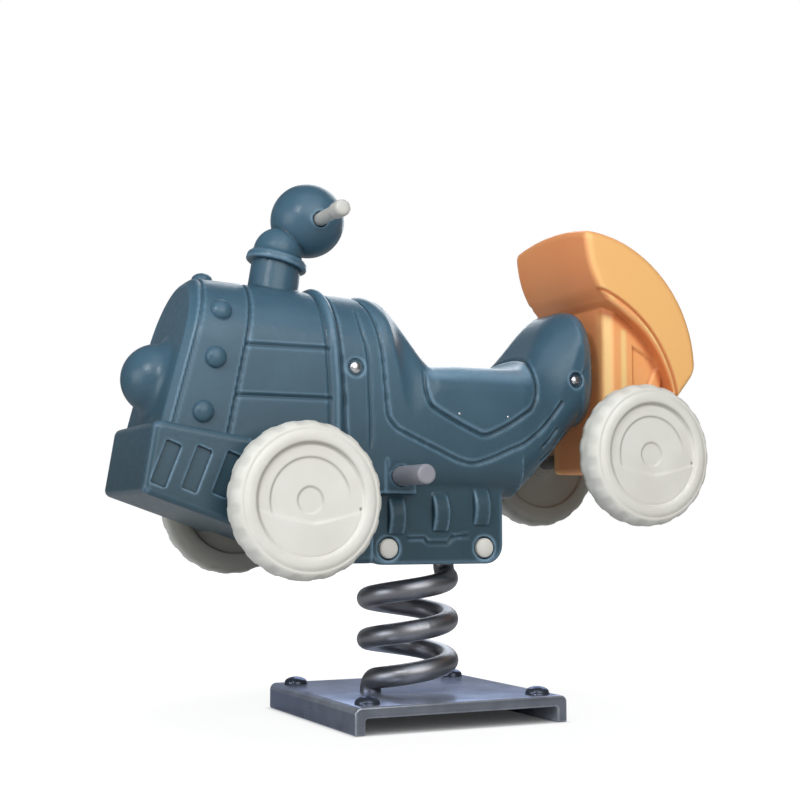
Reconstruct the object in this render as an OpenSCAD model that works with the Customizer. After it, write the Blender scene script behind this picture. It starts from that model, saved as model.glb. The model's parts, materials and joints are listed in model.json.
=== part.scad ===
// Spring rider: a ride-on toy engine with a tender, rocking on one coil spring above a ground plate.
// +X points to the nose, +Y to the rider's left, +Z up.
// The origin is on the ground below the centre of the base plate.
// Heights of the rider's own pieces are measured up from the underside of its spring housing.

/* [Base plate] */
// Side of the square base plate
plate_side = 340; // [320:5:400]
// Overall height of the plate with its folded flanges
plate_h = 39; // [38:1:60]
// Thickness of the plate's steel
plate_t = 16; // [10:1:16]
// Outer radius of the folded edges
plate_bend_r = 10; // [4:1:14]
// Distance between neighbouring ground anchors
anchor_pitch = 276; // [240:2:276]
// Diameter of the anchor holes
anchor_hole_d = 14; // [10:1:18]
// Diameter of the domed anchor nuts
anchor_nut_d = 37; // [28:1:40]
// Height of the domed anchor nuts
anchor_nut_h = 13; // [10:1:17]
// Thread diameter in the anchor nuts
anchor_thread_d = 12; // [8:1:14]

/* [Spring] */
// Mean diameter of the coil
coil_d = 124; // [112:1:132]
// Diameter of the spring wire
wire_d = 32; // [24:1:34]
// Height of the spring between the plate and the housing
spring_h = 191; // [180:1:240]
// Half turns from the lower end to the upper end
half_turns = 5; // [5:2:7]
// Bend radius of the centre line where the wire turns upright
end_bend_r = 19; // [18:1:24]
// Straight wire left standing outside each socket
end_out = 2; // [1:0.5:6]
// Distance of the spring's axis ahead of the plate's centre
spring_x = 9; // [0:1:14]

/* [Spring sockets] */
// Wall of the socket cups
socket_wall = 5; // [4:0.5:7]
// Floor of the socket cups
socket_floor = 4; // [3:0.5:5]
// Width of the socket flanges, along the rider
socket_flange_w = 50; // [48:1:60]
// Length of the socket flanges, across the rider
socket_flange_l = 98; // [94:1:110]
// Thickness of the socket flanges
socket_flange_t = 7; // [5:0.5:8]
// Thread diameter of the socket screws
socket_screw_d = 8; // [6:1:10]
// Head height of the socket screws
socket_head_h = 6; // [4:0.5:7]
// Distance between the two screws of a socket
socket_screw_pitch = 72; // [68:1:76]
// Depth that a lower socket screw reaches into the plate
socket_screw_depth = 9; // [6:0.5:9]

/* [Deck bracket] */
// Length of the steel bracket in the housing
bracket_l = 190; // [184:1:200]
// Width of the bracket over its flanges
bracket_w = 124; // [118:1:132]
// Height of the bracket's flanges
bracket_h = 48; // [42:1:56]
// Thickness of the bracket's steel
bracket_t = 6; // [4:0.5:8]
// Depth of the bracket inside the housing's underside
bracket_inset = 2; // [1:0.5:4]
// Distance of the deck bolts from the bracket's ends
deck_bolt_edge = 15; // [13:0.5:25]
// Height of the deck bolts above the underside
deck_bolt_z = 24; // [22:1:28]
// Thread diameter of the deck bolts
deck_bolt_d = 10; // [8:1:12]
// Head diameter of the deck bolts
deck_head_d = 18; // [16:1:19]
// Head height of the deck bolts
deck_head_h = 6; // [5:0.5:7]
// Width across the corners of the deck nuts
deck_nut_d = 19; // [17:1:21]
// Thickness of the deck nuts
deck_nut_h = 8; // [6:0.5:9]
// Diameter of the plastic bolt caps
cap_d = 29; // [26:1:31]
// Height of the bolt caps
cap_h = 11; // [10:0.5:13]
// Diameter of the pocket round each bolt cap
cap_pocket_d = 34; // [32:1:38]
// Depth of the pocket round each bolt cap
cap_pocket_depth = 5; // [3:0.5:7]

/* [Spring housing] */
// Length of the spring housing below the saddle
housing_l = 226; // [216:1:232]
// Width of the spring housing
housing_w = 168; // [160:1:180]
// Height of the spring housing up to the saddle
housing_h = 112; // [108:1:124]
// Radius of the housing's lower corners
housing_r = 28; // [16:1:34]

/* [Saddle] */
// Width of the saddle body
saddle_w = 210; // [204:1:214]
// Height of the seat
seat_z = 305; // [296:1:316]
// Front end of the flat of the seat
seat_front = -8; // [-16:1:0]
// Rear end of the flat of the seat
seat_rear = -138; // [-144:1:-130]
// Place of the pommel's crest
pommel_x = 84; // [76:1:92]
// Height of the pommel's crest
pommel_z = 400; // [390:1:402]
// Place of the cantle's crest
cantle_x = -242; // [-246:1:-238]
// Height of the cantle's crest
cantle_z = 400; // [390:1:406]
// Width of the body at the cantle
cantle_w = 190; // [182:1:196]
// Length of the rounded tail behind the cantle
tail_l = 43; // [40:1:50]
// Height of the tail's rearmost point
tail_z = 296; // [290:1:302]
// Height of the belly beside the housing
belly_z = 100; // [92:1:104]
// Place where the belly starts to rise to the tail
belly_rear = -140; // [-148:1:-132]
// Rounding of the seat's edges
seat_edge_r = 45; // [30:1:52]
// Rounding of the edges at the cantle
cantle_edge_r = 84; // [50:1:88]
// Rounding of the belly's edges
belly_edge_r = 60; // [45:1:66]
// Wall of the moulded shells
shell_wall = 6; // [4:0.5:7]

/* [Boiler] */
// Height of the boiler's crest at its rear end
boiler_rear_z = 402; // [398:1:410]
// Height of the boiler's crest at the nose
boiler_front_z = 418; // [410:1:424]
// Radius of the boiler's round top
boiler_top_r = 100; // [90:1:101]
// Place of the nose plate where it meets the bumper
nose_x = 427; // [415:1:435]
// Height at which that place is measured
nose_z = 200; // [190:1:210]
// Backward lean of the nose plate in degrees
nose_lean = 14.3; // [8:0.1:18]
// Bevel round the nose plate
nose_bevel = 9; // [5:0.5:12]
// Height of the keel beside the housing
keel_z = 3; // [2:0.5:8]
// Place where the keel starts to rise to the nose
keel_rear = 165; // [155:1:175]
// Height of the keel at the nose
keel_front_z = 95; // [88:1:100]
// Rounding of the keel's edges
keel_edge_r = 20; // [10:1:30]
// Gap of the seam between boiler and saddle
seam_gap = 0.5; // [0.3:0.1:1]
// Front end of the saddle's tongue inside the boiler
tongue_front = 176; // [168:1:190]
// Height of the tongue's underside
tongue_floor_z = 150; // [146:1:170]
// Place of the raised band round the boiler
band_x = 170; // [164:1:180]
// Width of the raised band
band_w = 30; // [20:1:34]
// Height of the band above the boiler's skin
band_rise = 7; // [4:0.5:9]
// Diameter of the headlamp dome
lamp_d = 108; // [96:1:116]
// Height of the headlamp's centre
lamp_z = 266; // [258:1:280]
// Depth of the lamp's centre behind the nose plate
lamp_sink = 4; // [0:0.5:12]
// Diameter of the balls that form the moulded rivets
rivet_ball_d = 40; // [34:1:44]
// Height of the rivets above the skin
rivet_rise = 9; // [5:0.5:11]
// Place of the rivets at the middle height of the row
rivet_x = 355; // [345:1:362]
// Height of the middle rivet
rivet_z = 287; // [280:1:294]
// Height between the rivets of a side
rivet_pitch = 72; // [64:1:76]
// Backward lean of the rivet row in degrees
rivet_lean = 10.5; // [6:0.5:14]

/* [Bumper] */
// Width of the bumper
bumper_w = 224; // [220:1:232]
// Rear end of the bumper
bumper_rear = 300; // [290:1:310]
// Foremost point of the bumper
bumper_front = 449; // [444:1:458]
// Height of the bumper's top at the nose
bumper_top_z = 200; // [192:1:206]
// Fall of the bumper's top towards its rear end
bumper_fall = 20; // [12:1:26]
// Depth of the bumper below the keel
bumper_drop = 3; // [2:0.5:6]
// Backward lean of the bumper's face in degrees
bumper_lean = 9; // [4:0.5:14]
// Rounding of the bumper's edges
bumper_edge_r = 16; // [8:1:24]
// Length of the bumper's rounded front
bumper_round = 18; // [14:1:24]
// Width of the slots in the bumper's sides
slot_w = 22; // [16:1:26]
// Length of the slots
slot_l = 62; // [48:1:66]
// Depth of the slots
slot_depth = 4; // [2:0.5:4.5]
// Distance between the slots
slot_pitch = 43.5; // [40:0.5:46]
// Place of the first slot
slot_x = 424; // [418:1:426]
// Height of the first slot's centre
slot_z = 141; // [136:1:146]
// Slant of the slots in degrees
slot_slant = 21; // [12:1:26]

/* [Chimney] */
// Place of the chimney on the boiler
chimney_x = 233; // [225:1:240]
// Diameter of the chimney
chimney_d = 76; // [70:1:80]
// Height of the collar's middle above the boiler
chimney_h = 43; // [38:1:52]
// Backward lean of the chimney in degrees
chimney_lean = 8; // [4:0.5:12]
// Backward lean of the collar in degrees
collar_lean = 14; // [8:0.5:18]
// Outer diameter of the collar
collar_d = 91; // [88:1:98]
// Thickness of the collar's bead
collar_t = 17; // [13:1:20]
// Diameter of the dome on the chimney
dome_d = 74; // [70:1:80]
// Height of the dome's centre above the collar
dome_up = 15; // [10:0.5:20]
// Diameter of the handle ball
ball_d = 112; // [108:1:120]
// Distance of the ball's centre behind the dome's
ball_back = 47; // [40:1:50]
// Distance of the ball's centre above the dome's
ball_up = 52; // [46:1:56]

/* [Handle] */
// Distance of the handle below the ball's centre
handle_drop = 7; // [0:0.5:12]
// Length of the handle over its grips
handle_l = 284; // [260:2:320]
// Diameter of the steel handle bar
handle_bar_d = 16; // [12:1:18]
// Outer diameter of the grips
grip_d = 25; // [22:0.5:30]
// Thickness of the grips' closed ends
grip_end = 6; // [4:0.5:9]
// Diameter of the socket in the ball round a grip
grip_socket_d = 32; // [31:1:40]
// Distance of the socket's floor from the rider's middle
grip_seat = 48; // [44:0.5:50]

/* [Footrest] */
// Place of the footrest
footrest_x = 68; // [60:1:72]
// Height of the footrest
footrest_z = 130; // [127:1:136]
// Length of the footrest over its sleeves
footrest_l = 374; // [340:2:420]
// Diameter of the footrest bar
footrest_bar_d = 18; // [14:1:20]
// Outer diameter of the footrest sleeves
footrest_d = 29; // [25:0.5:33]
// Diameter of the moulded pads that the sleeves sit on
footrest_pad_d = 44; // [38:1:48]
// Distance of the pads' faces from the rider's middle
footrest_pad_y = 100; // [99:0.5:104]

/* [Tender] */
// Place of the tender post's front face
post_front = -303; // [-306:1:-298]
// Place of the tender post's rear face
post_rear = -404; // [-408:1:-396]
// Width of the tender post
post_w = 176; // [164:1:184]
// Height of the tender post's underside
post_floor_z = 143; // [135:1:148]
// Rounding of the post's upright edges
post_edge_r = 10; // [6:1:14]
// Width of the hood
hood_w = 222; // [212:1:230]
// Radius of the hood's outer curve
hood_r = 240; // [234:1:246]
// Place of the outer curve's centre
hood_x = -215; // [-218:1:-210]
// Height of the outer curve's centre
hood_z = 288; // [284:1:292]
// Radius of the hood's inner curve
hood_in_r = 186; // [180:1:190]
// Distance of the inner curve's centre behind the outer one's
hood_in_back = 21; // [16:1:26]
// Distance of the inner curve's centre below the outer one's
hood_in_down = 56; // [50:1:62]
// Crown of the hood across its width
hood_crown = 15; // [6:1:18]
// Rounding of the hood's edges
hood_edge_r = 14; // [8:1:18]
// Angle where the hood starts at its front
hood_front_a = 100.5; // [97:0.5:104]
// Angle where the hood ends at its rear
hood_rear_a = 177; // [172:0.5:179]
// Width of the tender's tongue inside the tail
tender_tongue_w = 120; // [110:1:124]
// Height of the tender's tongue
tender_tongue_h = 86; // [76:1:88]
// Height of the tongue's middle
tender_tongue_z = 285; // [280:1:290]
// Front end of the tender's tongue
tender_tongue_front = -212; // [-218:1:-206]

/* [Wheels] */
// Diameter of the wheels
wheel_d = 221; // [206:1:228]
// Thickness of the wheels
wheel_t = 57; // [52:1:64]
// Track over the outer faces of the wheels
wheel_track = 379; // [370:1:400]
// Rounding of the tyre's shoulders
tyre_r = 21; // [10:1:23]
// Diameter of the recessed wheel disc
disc_d = 161; // [150:1:166]
// Depth of the recessed wheel disc
disc_depth = 6; // [4:0.5:8]
// Wall of the moulded wheels
wheel_wall = 5; // [4:0.5:6]
// Diameter of the solid hub round the bore
hub_d = 44; // [40:1:52]
// Diameter of the pocket for the axle nut
hub_pocket_d = 30; // [28:1:32]
// Depth of the pocket for the axle nut below the disc
hub_pocket_depth = 18; // [17:0.5:22]
// Diameter of the hub caps
hub_cap_d = 36; // [34:1:42]
// Thickness of the hub caps
hub_cap_t = 3; // [2:0.5:4]
// Depth of the plug behind a hub cap
hub_plug = 4; // [2:0.5:4.5]
// Diameter of the vent hole in a wheel's disc
vent_d = 3.2; // [2:0.2:5]
// Distance of the vent hole from the axle
vent_r = 74; // [66:1:75]
// Place of the front axle
front_axle_x = 242; // [236:1:248]
// Height of the front axle
front_axle_z = 92; // [86:1:98]
// Place of the rear axle
rear_axle_x = -320; // [-326:1:-318]
// Height of the rear axle
rear_axle_z = 166; // [162:1:172]
// Diameter of the axles
axle_d = 12; // [10:0.5:14]
// Outer diameter of the axle spacers
spacer_d = 24; // [20:1:26]
// Diameter of the axle washers
washer_d = 25; // [22:0.5:26]
// Thickness of the axle washers
washer_t = 2; // [1:0.5:2.5]
// Width across the corners of the axle nuts
nut_d = 21; // [19:0.5:23]
// Thickness of the axle nuts
nut_h = 9; // [7:0.5:9.5]

/* [Shell screws] */
// Thread diameter of the shell screws
screw_d = 10; // [8:0.5:11]
// Head diameter of the shell screws
screw_head_d = 16; // [14:0.5:18]
// Head height of the shell screws
screw_head_h = 5; // [4:0.5:7]
// Depth of the dimples for the screw heads
dimple_depth = 3.5; // [2:0.5:4]
// Diameter of the dimples
dimple_d = 25; // [22:1:28]
// Outer diameter of the brass inserts
insert_d = 16; // [14:0.5:18]
// Length of the brass inserts
insert_l = 12; // [10:0.5:14]
// Diameter of the moulded bosses round the inserts
boss_d = 27; // [24:1:32]
// Place of the boiler screws
boiler_screw_x = 142; // [134:1:146]
// Height of the boiler screws
boiler_screw_z = 286; // [276:1:296]
// Place of the tender screws
tender_screw_x = -240; // [-244:1:-234]

/* [Fits] */
// Play of the spring wire in its sockets
wire_play = 0.4; // [0.3:0.1:0.6]
// Radial running clearance of the wheels on the axles
running_play = 0.05; // [0.02:0.01:0.09]
// Side play of the wheels
side_play = 0.4; // [0.3:0.1:0.8]
// Radial play of bars, axles and screws in their own holes
hole_play = 0.2; // [0.1:0.05:0.4]
// Play of the tongues in their sockets
tongue_play = 0.5; // [0.3:0.1:0.8]

/* [Hidden] */
$fn = 64;

shell_blue = [0.13, 0.27, 0.37];
tender_orange = [0.93, 0.56, 0.25];
wheel_cream = [0.86, 0.85, 0.81];
grip_grey = [0.80, 0.79, 0.77];
peg_grey = [0.50, 0.49, 0.55];
spring_grey = [0.16, 0.16, 0.18];
plate_slate = [0.22, 0.25, 0.33];
bright_steel = [0.75, 0.75, 0.77];
brass_yellow = [0.78, 0.62, 0.30];

// Cuts run past the faces that they open by this much
over = 1;
// Straight steps in a rounded corner of a lofted section
corner_steps = 5;
// Sections along each curved stretch of the saddle
ramp_steps = 8;
// Sections along the hood
hood_steps = 9;
// Swept sections in one turn of the spring, and sides of its wire
rings_per_turn = 8;
wire_sides = 6;
bend_steps = 3;

deck_z = plate_h + spring_h;
coil_r = coil_d / 2;
wire_r = wire_d / 2;
wire_hole_r = wire_r + wire_play;
low_end = [spring_x + coil_r, 0];
turn_total = 180 * half_turns;
high_end = [spring_x + coil_r * cos(turn_total), coil_r * sin(turn_total)];
end_in = wire_d - end_out;
parting_x = housing_l / 2;
wheel_inner_y = wheel_track / 2 - wheel_t;
disc_face = wheel_t - disc_depth;
pocket_floor = disc_face - hub_pocket_depth;
axle_half = wheel_inner_y + pocket_floor + side_play + washer_t + nut_h + over;
pocket_roof = bracket_inset + bracket_h;
web_top = bracket_inset + bracket_t;
boiler_w = saddle_w;

// Points of an arc in a plane, in steps
function arc(cx, cy, r, a0, a1, steps) =
    [for (i = [0:steps]) let (a = a0 + (a1 - a0) * i / steps) [cx + r * cos(a), cy + r * sin(a)]];

// Closed section with rounded corners, as [across, up], with an arched top where crown is not zero
function section(half_w, low, high, low_r, high_r, crown = 0) =
    let (
        top_w = half_w - high_r,
        arch = crown == 0 ? [] : [for (i = [-2:2]) let (s = -i / 3) [top_w * s, high + crown * (1 - s * s)]]
    )
    concat(
        arc(half_w - low_r, low + low_r, low_r, -90, 0, corner_steps),
        arc(top_w, high - high_r, high_r, 0, 90, corner_steps),
        arch,
        arc(-top_w, high - high_r, high_r, 90, 180, corner_steps),
        arc(low_r - half_w, low + low_r, low_r, 180, 270, corner_steps)
    );

// One ring of a loft along X, with its upper points moved by the lean
function ring(x, sec, lean = 0, lean_z = 0) =
    [for (p = sec) [x - (p[1] - lean_z) * tan(lean), p[0], p[1]]];

// Solid skin over a row of rings that have as many points each
module loft(rings) {
    n = len(rings[0]);
    last = len(rings) - 1;
    sides = [
        for (j = [0:last - 1], i = [0:n - 1])
            let (a = j * n + i, b = j * n + (i + 1) % n)
                each [[a, a + n, b + n], [a, b + n, b]]
    ];
    front = [for (i = [n - 1:-1:0]) last * n + i];
    back = [for (i = [0:n - 1]) i];
    polyhedron(points = [for (r = rings) each r], faces = concat([back], sides, [front]));
}

// Cylinder across the rider, from y0 to y1
module cross_rod(x, z, r, y0, y1) {
    translate([x, y0, z]) rotate([-90, 0, 0]) cylinder(r = r, h = y1 - y0);
}

// The same on both sides of the rider
module both_sides() {
    children();
    mirror([0, 1, 0]) children();
}

// Lift a piece of the rider from its housing's underside to its real height
module on_deck() {
    translate([0, 0, deck_z]) children();
}

// Domed screw head that stands on Z = 0
module dome_head(d, h) {
    ball_r = (d * d / 4 + h * h) / (2 * h);
    intersection() {
        translate([0, 0, h - ball_r]) sphere(r = ball_r);
        cylinder(d = d, h = h);
    }
}

// Base plate and its fasteners

module anchor_places() {
    for (x = [-1, 1], y = [-1, 1]) translate([x * anchor_pitch / 2, y * anchor_pitch / 2, 0]) children();
}

module socket_screw_places(end) {
    for (s = [-1, 1]) translate([end[0], end[1] + s * socket_screw_pitch / 2, 0]) children();
}

module base_plate() {
    half = plate_side / 2;
    bend_x = half - plate_bend_r;
    color(plate_slate) difference() {
        union() {
            translate([-half, -half, 0]) cube([plate_side, plate_side, plate_h - plate_bend_r]);
            translate([-bend_x, -half, 0]) cube([2 * bend_x, plate_side, plate_h]);
            for (s = [-1, 1]) cross_rod(s * bend_x, plate_h - plate_bend_r, plate_bend_r, -half, half);
        }
        translate([plate_t - half, -half - over, -over])
            cube([plate_side - 2 * plate_t, plate_side + 2 * over, plate_h - plate_t + over]);
        anchor_places() cylinder(d = anchor_hole_d, h = plate_h + over);
        translate([low_end[0], low_end[1], 0]) cylinder(r = wire_hole_r, h = plate_h + over);
        socket_screw_places(low_end) translate([0, 0, plate_h - plate_t - over])
            cylinder(r = socket_screw_d / 2 + hole_play, h = socket_screw_depth + 2 * over);
    }
}

module anchor_nuts() {
    brim = anchor_nut_h / 4;
    color(plate_slate) anchor_places() translate([0, 0, plate_h]) difference() {
        union() {
            cylinder(d = anchor_nut_d, h = brim);
            translate([0, 0, brim]) dome_head(anchor_nut_d, anchor_nut_h - brim);
        }
        translate([0, 0, -over]) cylinder(d = anchor_thread_d, h = anchor_nut_h * 0.6 + over);
    }
}

// Socket cup that stands mouth down on Z = 0, with the wire's end at wire_top
module socket_cup(end, wire_top, seat) {
    cup_r = wire_hole_r + socket_wall;
    difference() {
        translate([end[0], end[1], seat]) {
            cylinder(r = cup_r, h = wire_top + socket_floor - seat);
            translate([-socket_flange_w / 2, -socket_flange_l / 2, 0])
                cube([socket_flange_w, socket_flange_l, socket_flange_t]);
        }
        translate([end[0], end[1], seat - over]) cylinder(r = wire_hole_r, h = wire_top - seat + over);
        socket_screw_places(end) translate([0, 0, seat - over])
            cylinder(r = socket_screw_d / 2 + hole_play, h = socket_flange_t + 2 * over);
    }
}

// Screw with a round head on Z = 0, its shank reaching down
module cap_screw(d, shank, head_h) {
    translate([0, 0, -shank]) cylinder(d = d, h = shank);
    cylinder(d = 1.6 * d, h = head_h);
}

module lower_socket() {
    color(spring_grey) translate([0, 0, plate_h]) mirror([0, 0, 1]) socket_cup(low_end, end_in, plate_t);
}

module lower_socket_screws() {
    color(bright_steel) translate([0, 0, plate_h]) mirror([0, 0, 1]) socket_screw_places(low_end)
        translate([0, 0, plate_t + socket_flange_t])
            cap_screw(socket_screw_d, socket_flange_t + socket_screw_depth, socket_head_h);
}

// Coil spring: upright ends, a bend at each end, and a helix between them

spring_rise = spring_h - 2 * end_out;
turn_length = coil_r * turn_total * PI / 180;

// Slope of the helix, found by repeated correction for the two bends
function helix_slope(tries, slope = 10) =
    tries == 0 ? slope :
    helix_slope(tries - 1, atan((spring_rise - 2 * end_bend_r * cos(slope))
                                / (turn_length - 2 * end_bend_r * (1 - sin(slope)))));

slope = helix_slope(12);
bend_run = end_bend_r * (1 - sin(slope));
bend_up = end_bend_r * cos(slope);
helix_rise = spring_rise - 2 * bend_up;
helix_run = turn_length - 2 * bend_run;
helix_steps = ceil(rings_per_turn * helix_run / (coil_r * 2 * PI));

// Stations of the wire as [run along the coil, height, slope]
lower_bend = [
    for (i = [0:bend_steps - 1])
        let (a = 90 - (90 - slope) * i / bend_steps)
            [end_bend_r * (1 - sin(a)), plate_h + end_out + end_bend_r * cos(a), a]
];
helix = [
    for (i = [0:helix_steps])
        let (t = i / helix_steps)
            [bend_run + helix_run * t, plate_h + end_out + bend_up + helix_rise * t, slope]
];
upper_bend = [
    for (i = [bend_steps - 1:-1:0])
        let (a = 90 - (90 - slope) * i / bend_steps)
            [turn_length - end_bend_r * (1 - sin(a)), deck_z - end_out - end_bend_r * cos(a), a]
];
wire_stations = concat(
    [[0, plate_h - end_in, 90]], lower_bend, helix, upper_bend, [[turn_length, deck_z + end_in, 90]]
);

function coil_angle(run) = run / coil_r * 180 / PI;
function wire_centre(st) =
    [spring_x + coil_r * cos(coil_angle(st[0])), coil_r * sin(coil_angle(st[0])), st[1]];
function wire_ring(st) =
    let (
        c = wire_centre(st),
        a = coil_angle(st[0]),
        out = [cos(a), sin(a), 0],
        along = [-sin(a) * cos(st[2]), cos(a) * cos(st[2]), sin(st[2])],
        side = cross(along, out)
    )
    [
        for (i = [0:wire_sides - 1])
            let (b = 360 * i / wire_sides)
                c + wire_r * (out * cos(b) + side * sin(b))
    ];

// Least distance between points of the wire that are half a turn or more apart
spring_gap = min([
    for (i = [0:len(wire_stations) - 1], j = [i:len(wire_stations) - 1])
        if (wire_stations[j][0] - wire_stations[i][0] >= coil_r * PI)
            norm(wire_centre(wire_stations[j]) - wire_centre(wire_stations[i])) - wire_d
]);
echo(str("Least gap of the spring to itself: ", spring_gap, " mm"));

module coil_spring() {
    n = wire_sides;
    rings = [for (st = wire_stations) wire_ring(st)];
    last = len(rings) - 1;
    sides = [
        for (j = [0:last - 1], i = [0:n - 1])
            let (a = j * n + i, b = j * n + (i + 1) % n)
                each [[a, a + n, b + n], [a, b + n, b]]
    ];
    ends = [for (i = [1:n - 2]) each [[0, i, i + 1], [last * n, last * n + i + 1, last * n + i]]];
    color(spring_grey) polyhedron(points = [for (r = rings) each r], faces = concat(sides, ends));
}

// Steel bracket in the housing, its bolts and their caps

deck_bolt_pitch = bracket_l - 2 * deck_bolt_edge;

module deck_bolt_places() {
    for (x = [-1, 1]) translate([x * deck_bolt_pitch / 2, 0, deck_bolt_z]) children();
}

module deck_bracket() {
    half_l = bracket_l / 2;
    half_w = bracket_w / 2;
    color(bright_steel) on_deck() difference() {
        translate([-half_l, -half_w, bracket_inset]) cube([bracket_l, bracket_w, bracket_h]);
        translate([-half_l - over, bracket_t - half_w, web_top])
            cube([bracket_l + 2 * over, bracket_w - 2 * bracket_t, bracket_h]);
        translate([high_end[0], high_end[1], 0]) cylinder(r = wire_hole_r, h = web_top + over);
        socket_screw_places(high_end) cylinder(r = socket_screw_d / 2 + hole_play, h = web_top + over);
        deck_bolt_places() cross_rod(0, 0, deck_bolt_d / 2 + hole_play, -half_w - over, half_w + over);
    }
}

module upper_socket() {
    color(spring_grey) on_deck() socket_cup(high_end, end_in, web_top);
}

module upper_socket_screws() {
    color(bright_steel) on_deck() socket_screw_places(high_end)
        translate([0, 0, web_top + socket_flange_t])
            cap_screw(socket_screw_d, socket_flange_t + bracket_t, socket_head_h);
}

cap_floor_y = housing_w / 2 - cap_pocket_depth;
deck_bolt_end = bracket_w / 2 - bracket_t - deck_nut_h - over;

module deck_bolts() {
    color(bright_steel) on_deck() both_sides() deck_bolt_places() {
        cross_rod(0, 0, deck_bolt_d / 2, deck_bolt_end, cap_floor_y);
        cross_rod(0, 0, deck_head_d / 2, cap_floor_y, cap_floor_y + deck_head_h);
    }
}

module deck_nuts() {
    top = bracket_w / 2 - bracket_t;
    color(bright_steel) on_deck() both_sides() deck_bolt_places() difference() {
        translate([0, top, 0]) rotate([90, 0, 0]) cylinder(d = deck_nut_d, h = deck_nut_h, $fn = 6);
        cross_rod(0, 0, deck_bolt_d / 2 + hole_play, top - deck_nut_h - over, top + over);
    }
}

module bolt_caps() {
    skirt = cap_h * 0.55;
    head_room = deck_head_h + hole_play;
    color(wheel_cream) on_deck() both_sides() deck_bolt_places()
        translate([0, cap_floor_y, 0]) rotate([-90, 0, 0]) difference() {
            union() {
                cylinder(d = cap_d, h = skirt);
                translate([0, 0, skirt]) dome_head(cap_d, cap_h - skirt);
            }
            translate([0, 0, -over]) cylinder(d = deck_head_d + 2 * hole_play, h = head_room + over);
        }
}

// Saddle moulding: seat, tail, spring housing and the tongue that carries the boiler

// Smooth step from 0 to 1
function ease(t) = (1 - cos(180 * max(0, min(1, t)))) / 2;

function seat_top(x) =
    x > seat_front ? seat_z + (pommel_z - seat_z) * ease((x - seat_front) / (pommel_x - seat_front)) :
    x < seat_rear ? seat_z + (cantle_z - seat_z) * ease((seat_rear - x) / (seat_rear - cantle_x)) :
    seat_z;
function belly(x) = belly_z + max(0, belly_rear - x);
function saddle_half(x) =
    x > seat_rear ? saddle_w / 2 :
    saddle_w / 2 + (cantle_w - saddle_w) / 2 * (seat_rear - x) / (seat_rear - cantle_x);

// Rounding of the seat's edges, which grows up both slopes
function seat_edge(x) =
    let (
        up_front = ease((x - seat_front) / (pommel_x - seat_front) + 0.3) - ease(0.3),
        up_rear = ease((seat_rear - x) / (seat_rear - cantle_x) + 0.3) - ease(0.3)
    )
    x > seat_front ? seat_edge_r + (boiler_top_r - seat_edge_r) * up_front / (1 - ease(0.3)) :
    x < seat_rear ? seat_edge_r + (cantle_edge_r - seat_edge_r) * up_rear / (1 - ease(0.3)) :
    seat_edge_r;

// Ring of the saddle at a place, drawn in by a wall
function saddle_ring(x, wall) =
    let (
        half = saddle_half(x) - wall,
        low = belly(x) + wall,
        high = seat_top(x) - wall,
        fit_r = min((high - low) / 2 - over, half - over),
        low_r = min(belly_edge_r - wall, fit_r, high - low - seat_edge(x))
    )
    ring(x, section(half, low, high, low_r, min(seat_edge(x) - wall, fit_r)));

// Ring of the rounded tail at an angle from the cantle, 0, to the tip, 90
function tail_ring(a, wall) =
    let (
        x = cantle_x - (tail_l - wall) * sin(a),
        high = tail_z + (cantle_z - tail_z - wall) * cos(a),
        low = tail_z - (tail_z - belly(cantle_x) - wall) * cos(a),
        half = (cantle_w / 2 - wall) * (0.7 + 0.3 * cos(a)),
        fit_r = min((high - low) / 2 - 0.2, half - over)
    )
    ring(x, section(half, low, high, min(belly_edge_r - wall, fit_r), min(cantle_edge_r - wall, fit_r)));

module saddle_form(wall) {
    tail = [for (a = [84, 66, 48, 32, 16]) tail_ring(a, wall)];
    rear_step = (seat_rear - cantle_x) / ramp_steps;
    front_step = (pommel_x - seat_front) / ramp_steps;
    rear = [for (i = [0:ramp_steps - 1]) saddle_ring(cantle_x + rear_step * i, wall)];
    seat = [for (i = [0:1]) saddle_ring(seat_rear + (seat_front - seat_rear) * i / 2, wall)];
    front = [for (i = [0:ramp_steps]) saddle_ring(seat_front + front_step * i, wall)];
    loft(concat(tail, rear, seat, front, [saddle_ring(parting_x - wall, wall)]));
}

module housing_form() {
    half_l = housing_l / 2;
    half_w = housing_w / 2;
    translate([-half_l, -half_w, housing_r]) cube([housing_l, housing_w, housing_h - housing_r]);
    translate([housing_r - half_l, -half_w, 0]) cube([housing_l - 2 * housing_r, housing_w, housing_h]);
    for (s = [-1, 1]) cross_rod(s * (half_l - housing_r), housing_r, housing_r, -half_w, half_w);
}

// Tongue inside the boiler, between two places, drawn in by a wall from its outer skin
module tongue_form(x0, x1, wall) {
    draw = shell_wall + tongue_play + wall;
    high = min(boiler_rear_z, pommel_z) - draw;
    half = boiler_w / 2 - draw;
    sec = section(half, tongue_floor_z + wall, high, keel_edge_r - wall, boiler_top_r - draw);
    loft([ring(x0, sec), ring(x1, sec)]);
}

tongue_face_y = boiler_w / 2 - shell_wall - tongue_play;

// Block in the tail that the tender's tongue slides into; grow is added on every side
module tail_socket(grow) {
    half_w = tender_tongue_w / 2 + tongue_play + grow;
    half_h = tender_tongue_h / 2 + tongue_play + grow;
    x0 = cantle_x - tail_l - over;
    translate([x0, -half_w, tender_tongue_z - half_h])
        cube([tender_tongue_front + tongue_play + grow - x0, 2 * half_w, 2 * half_h]);
}

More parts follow.
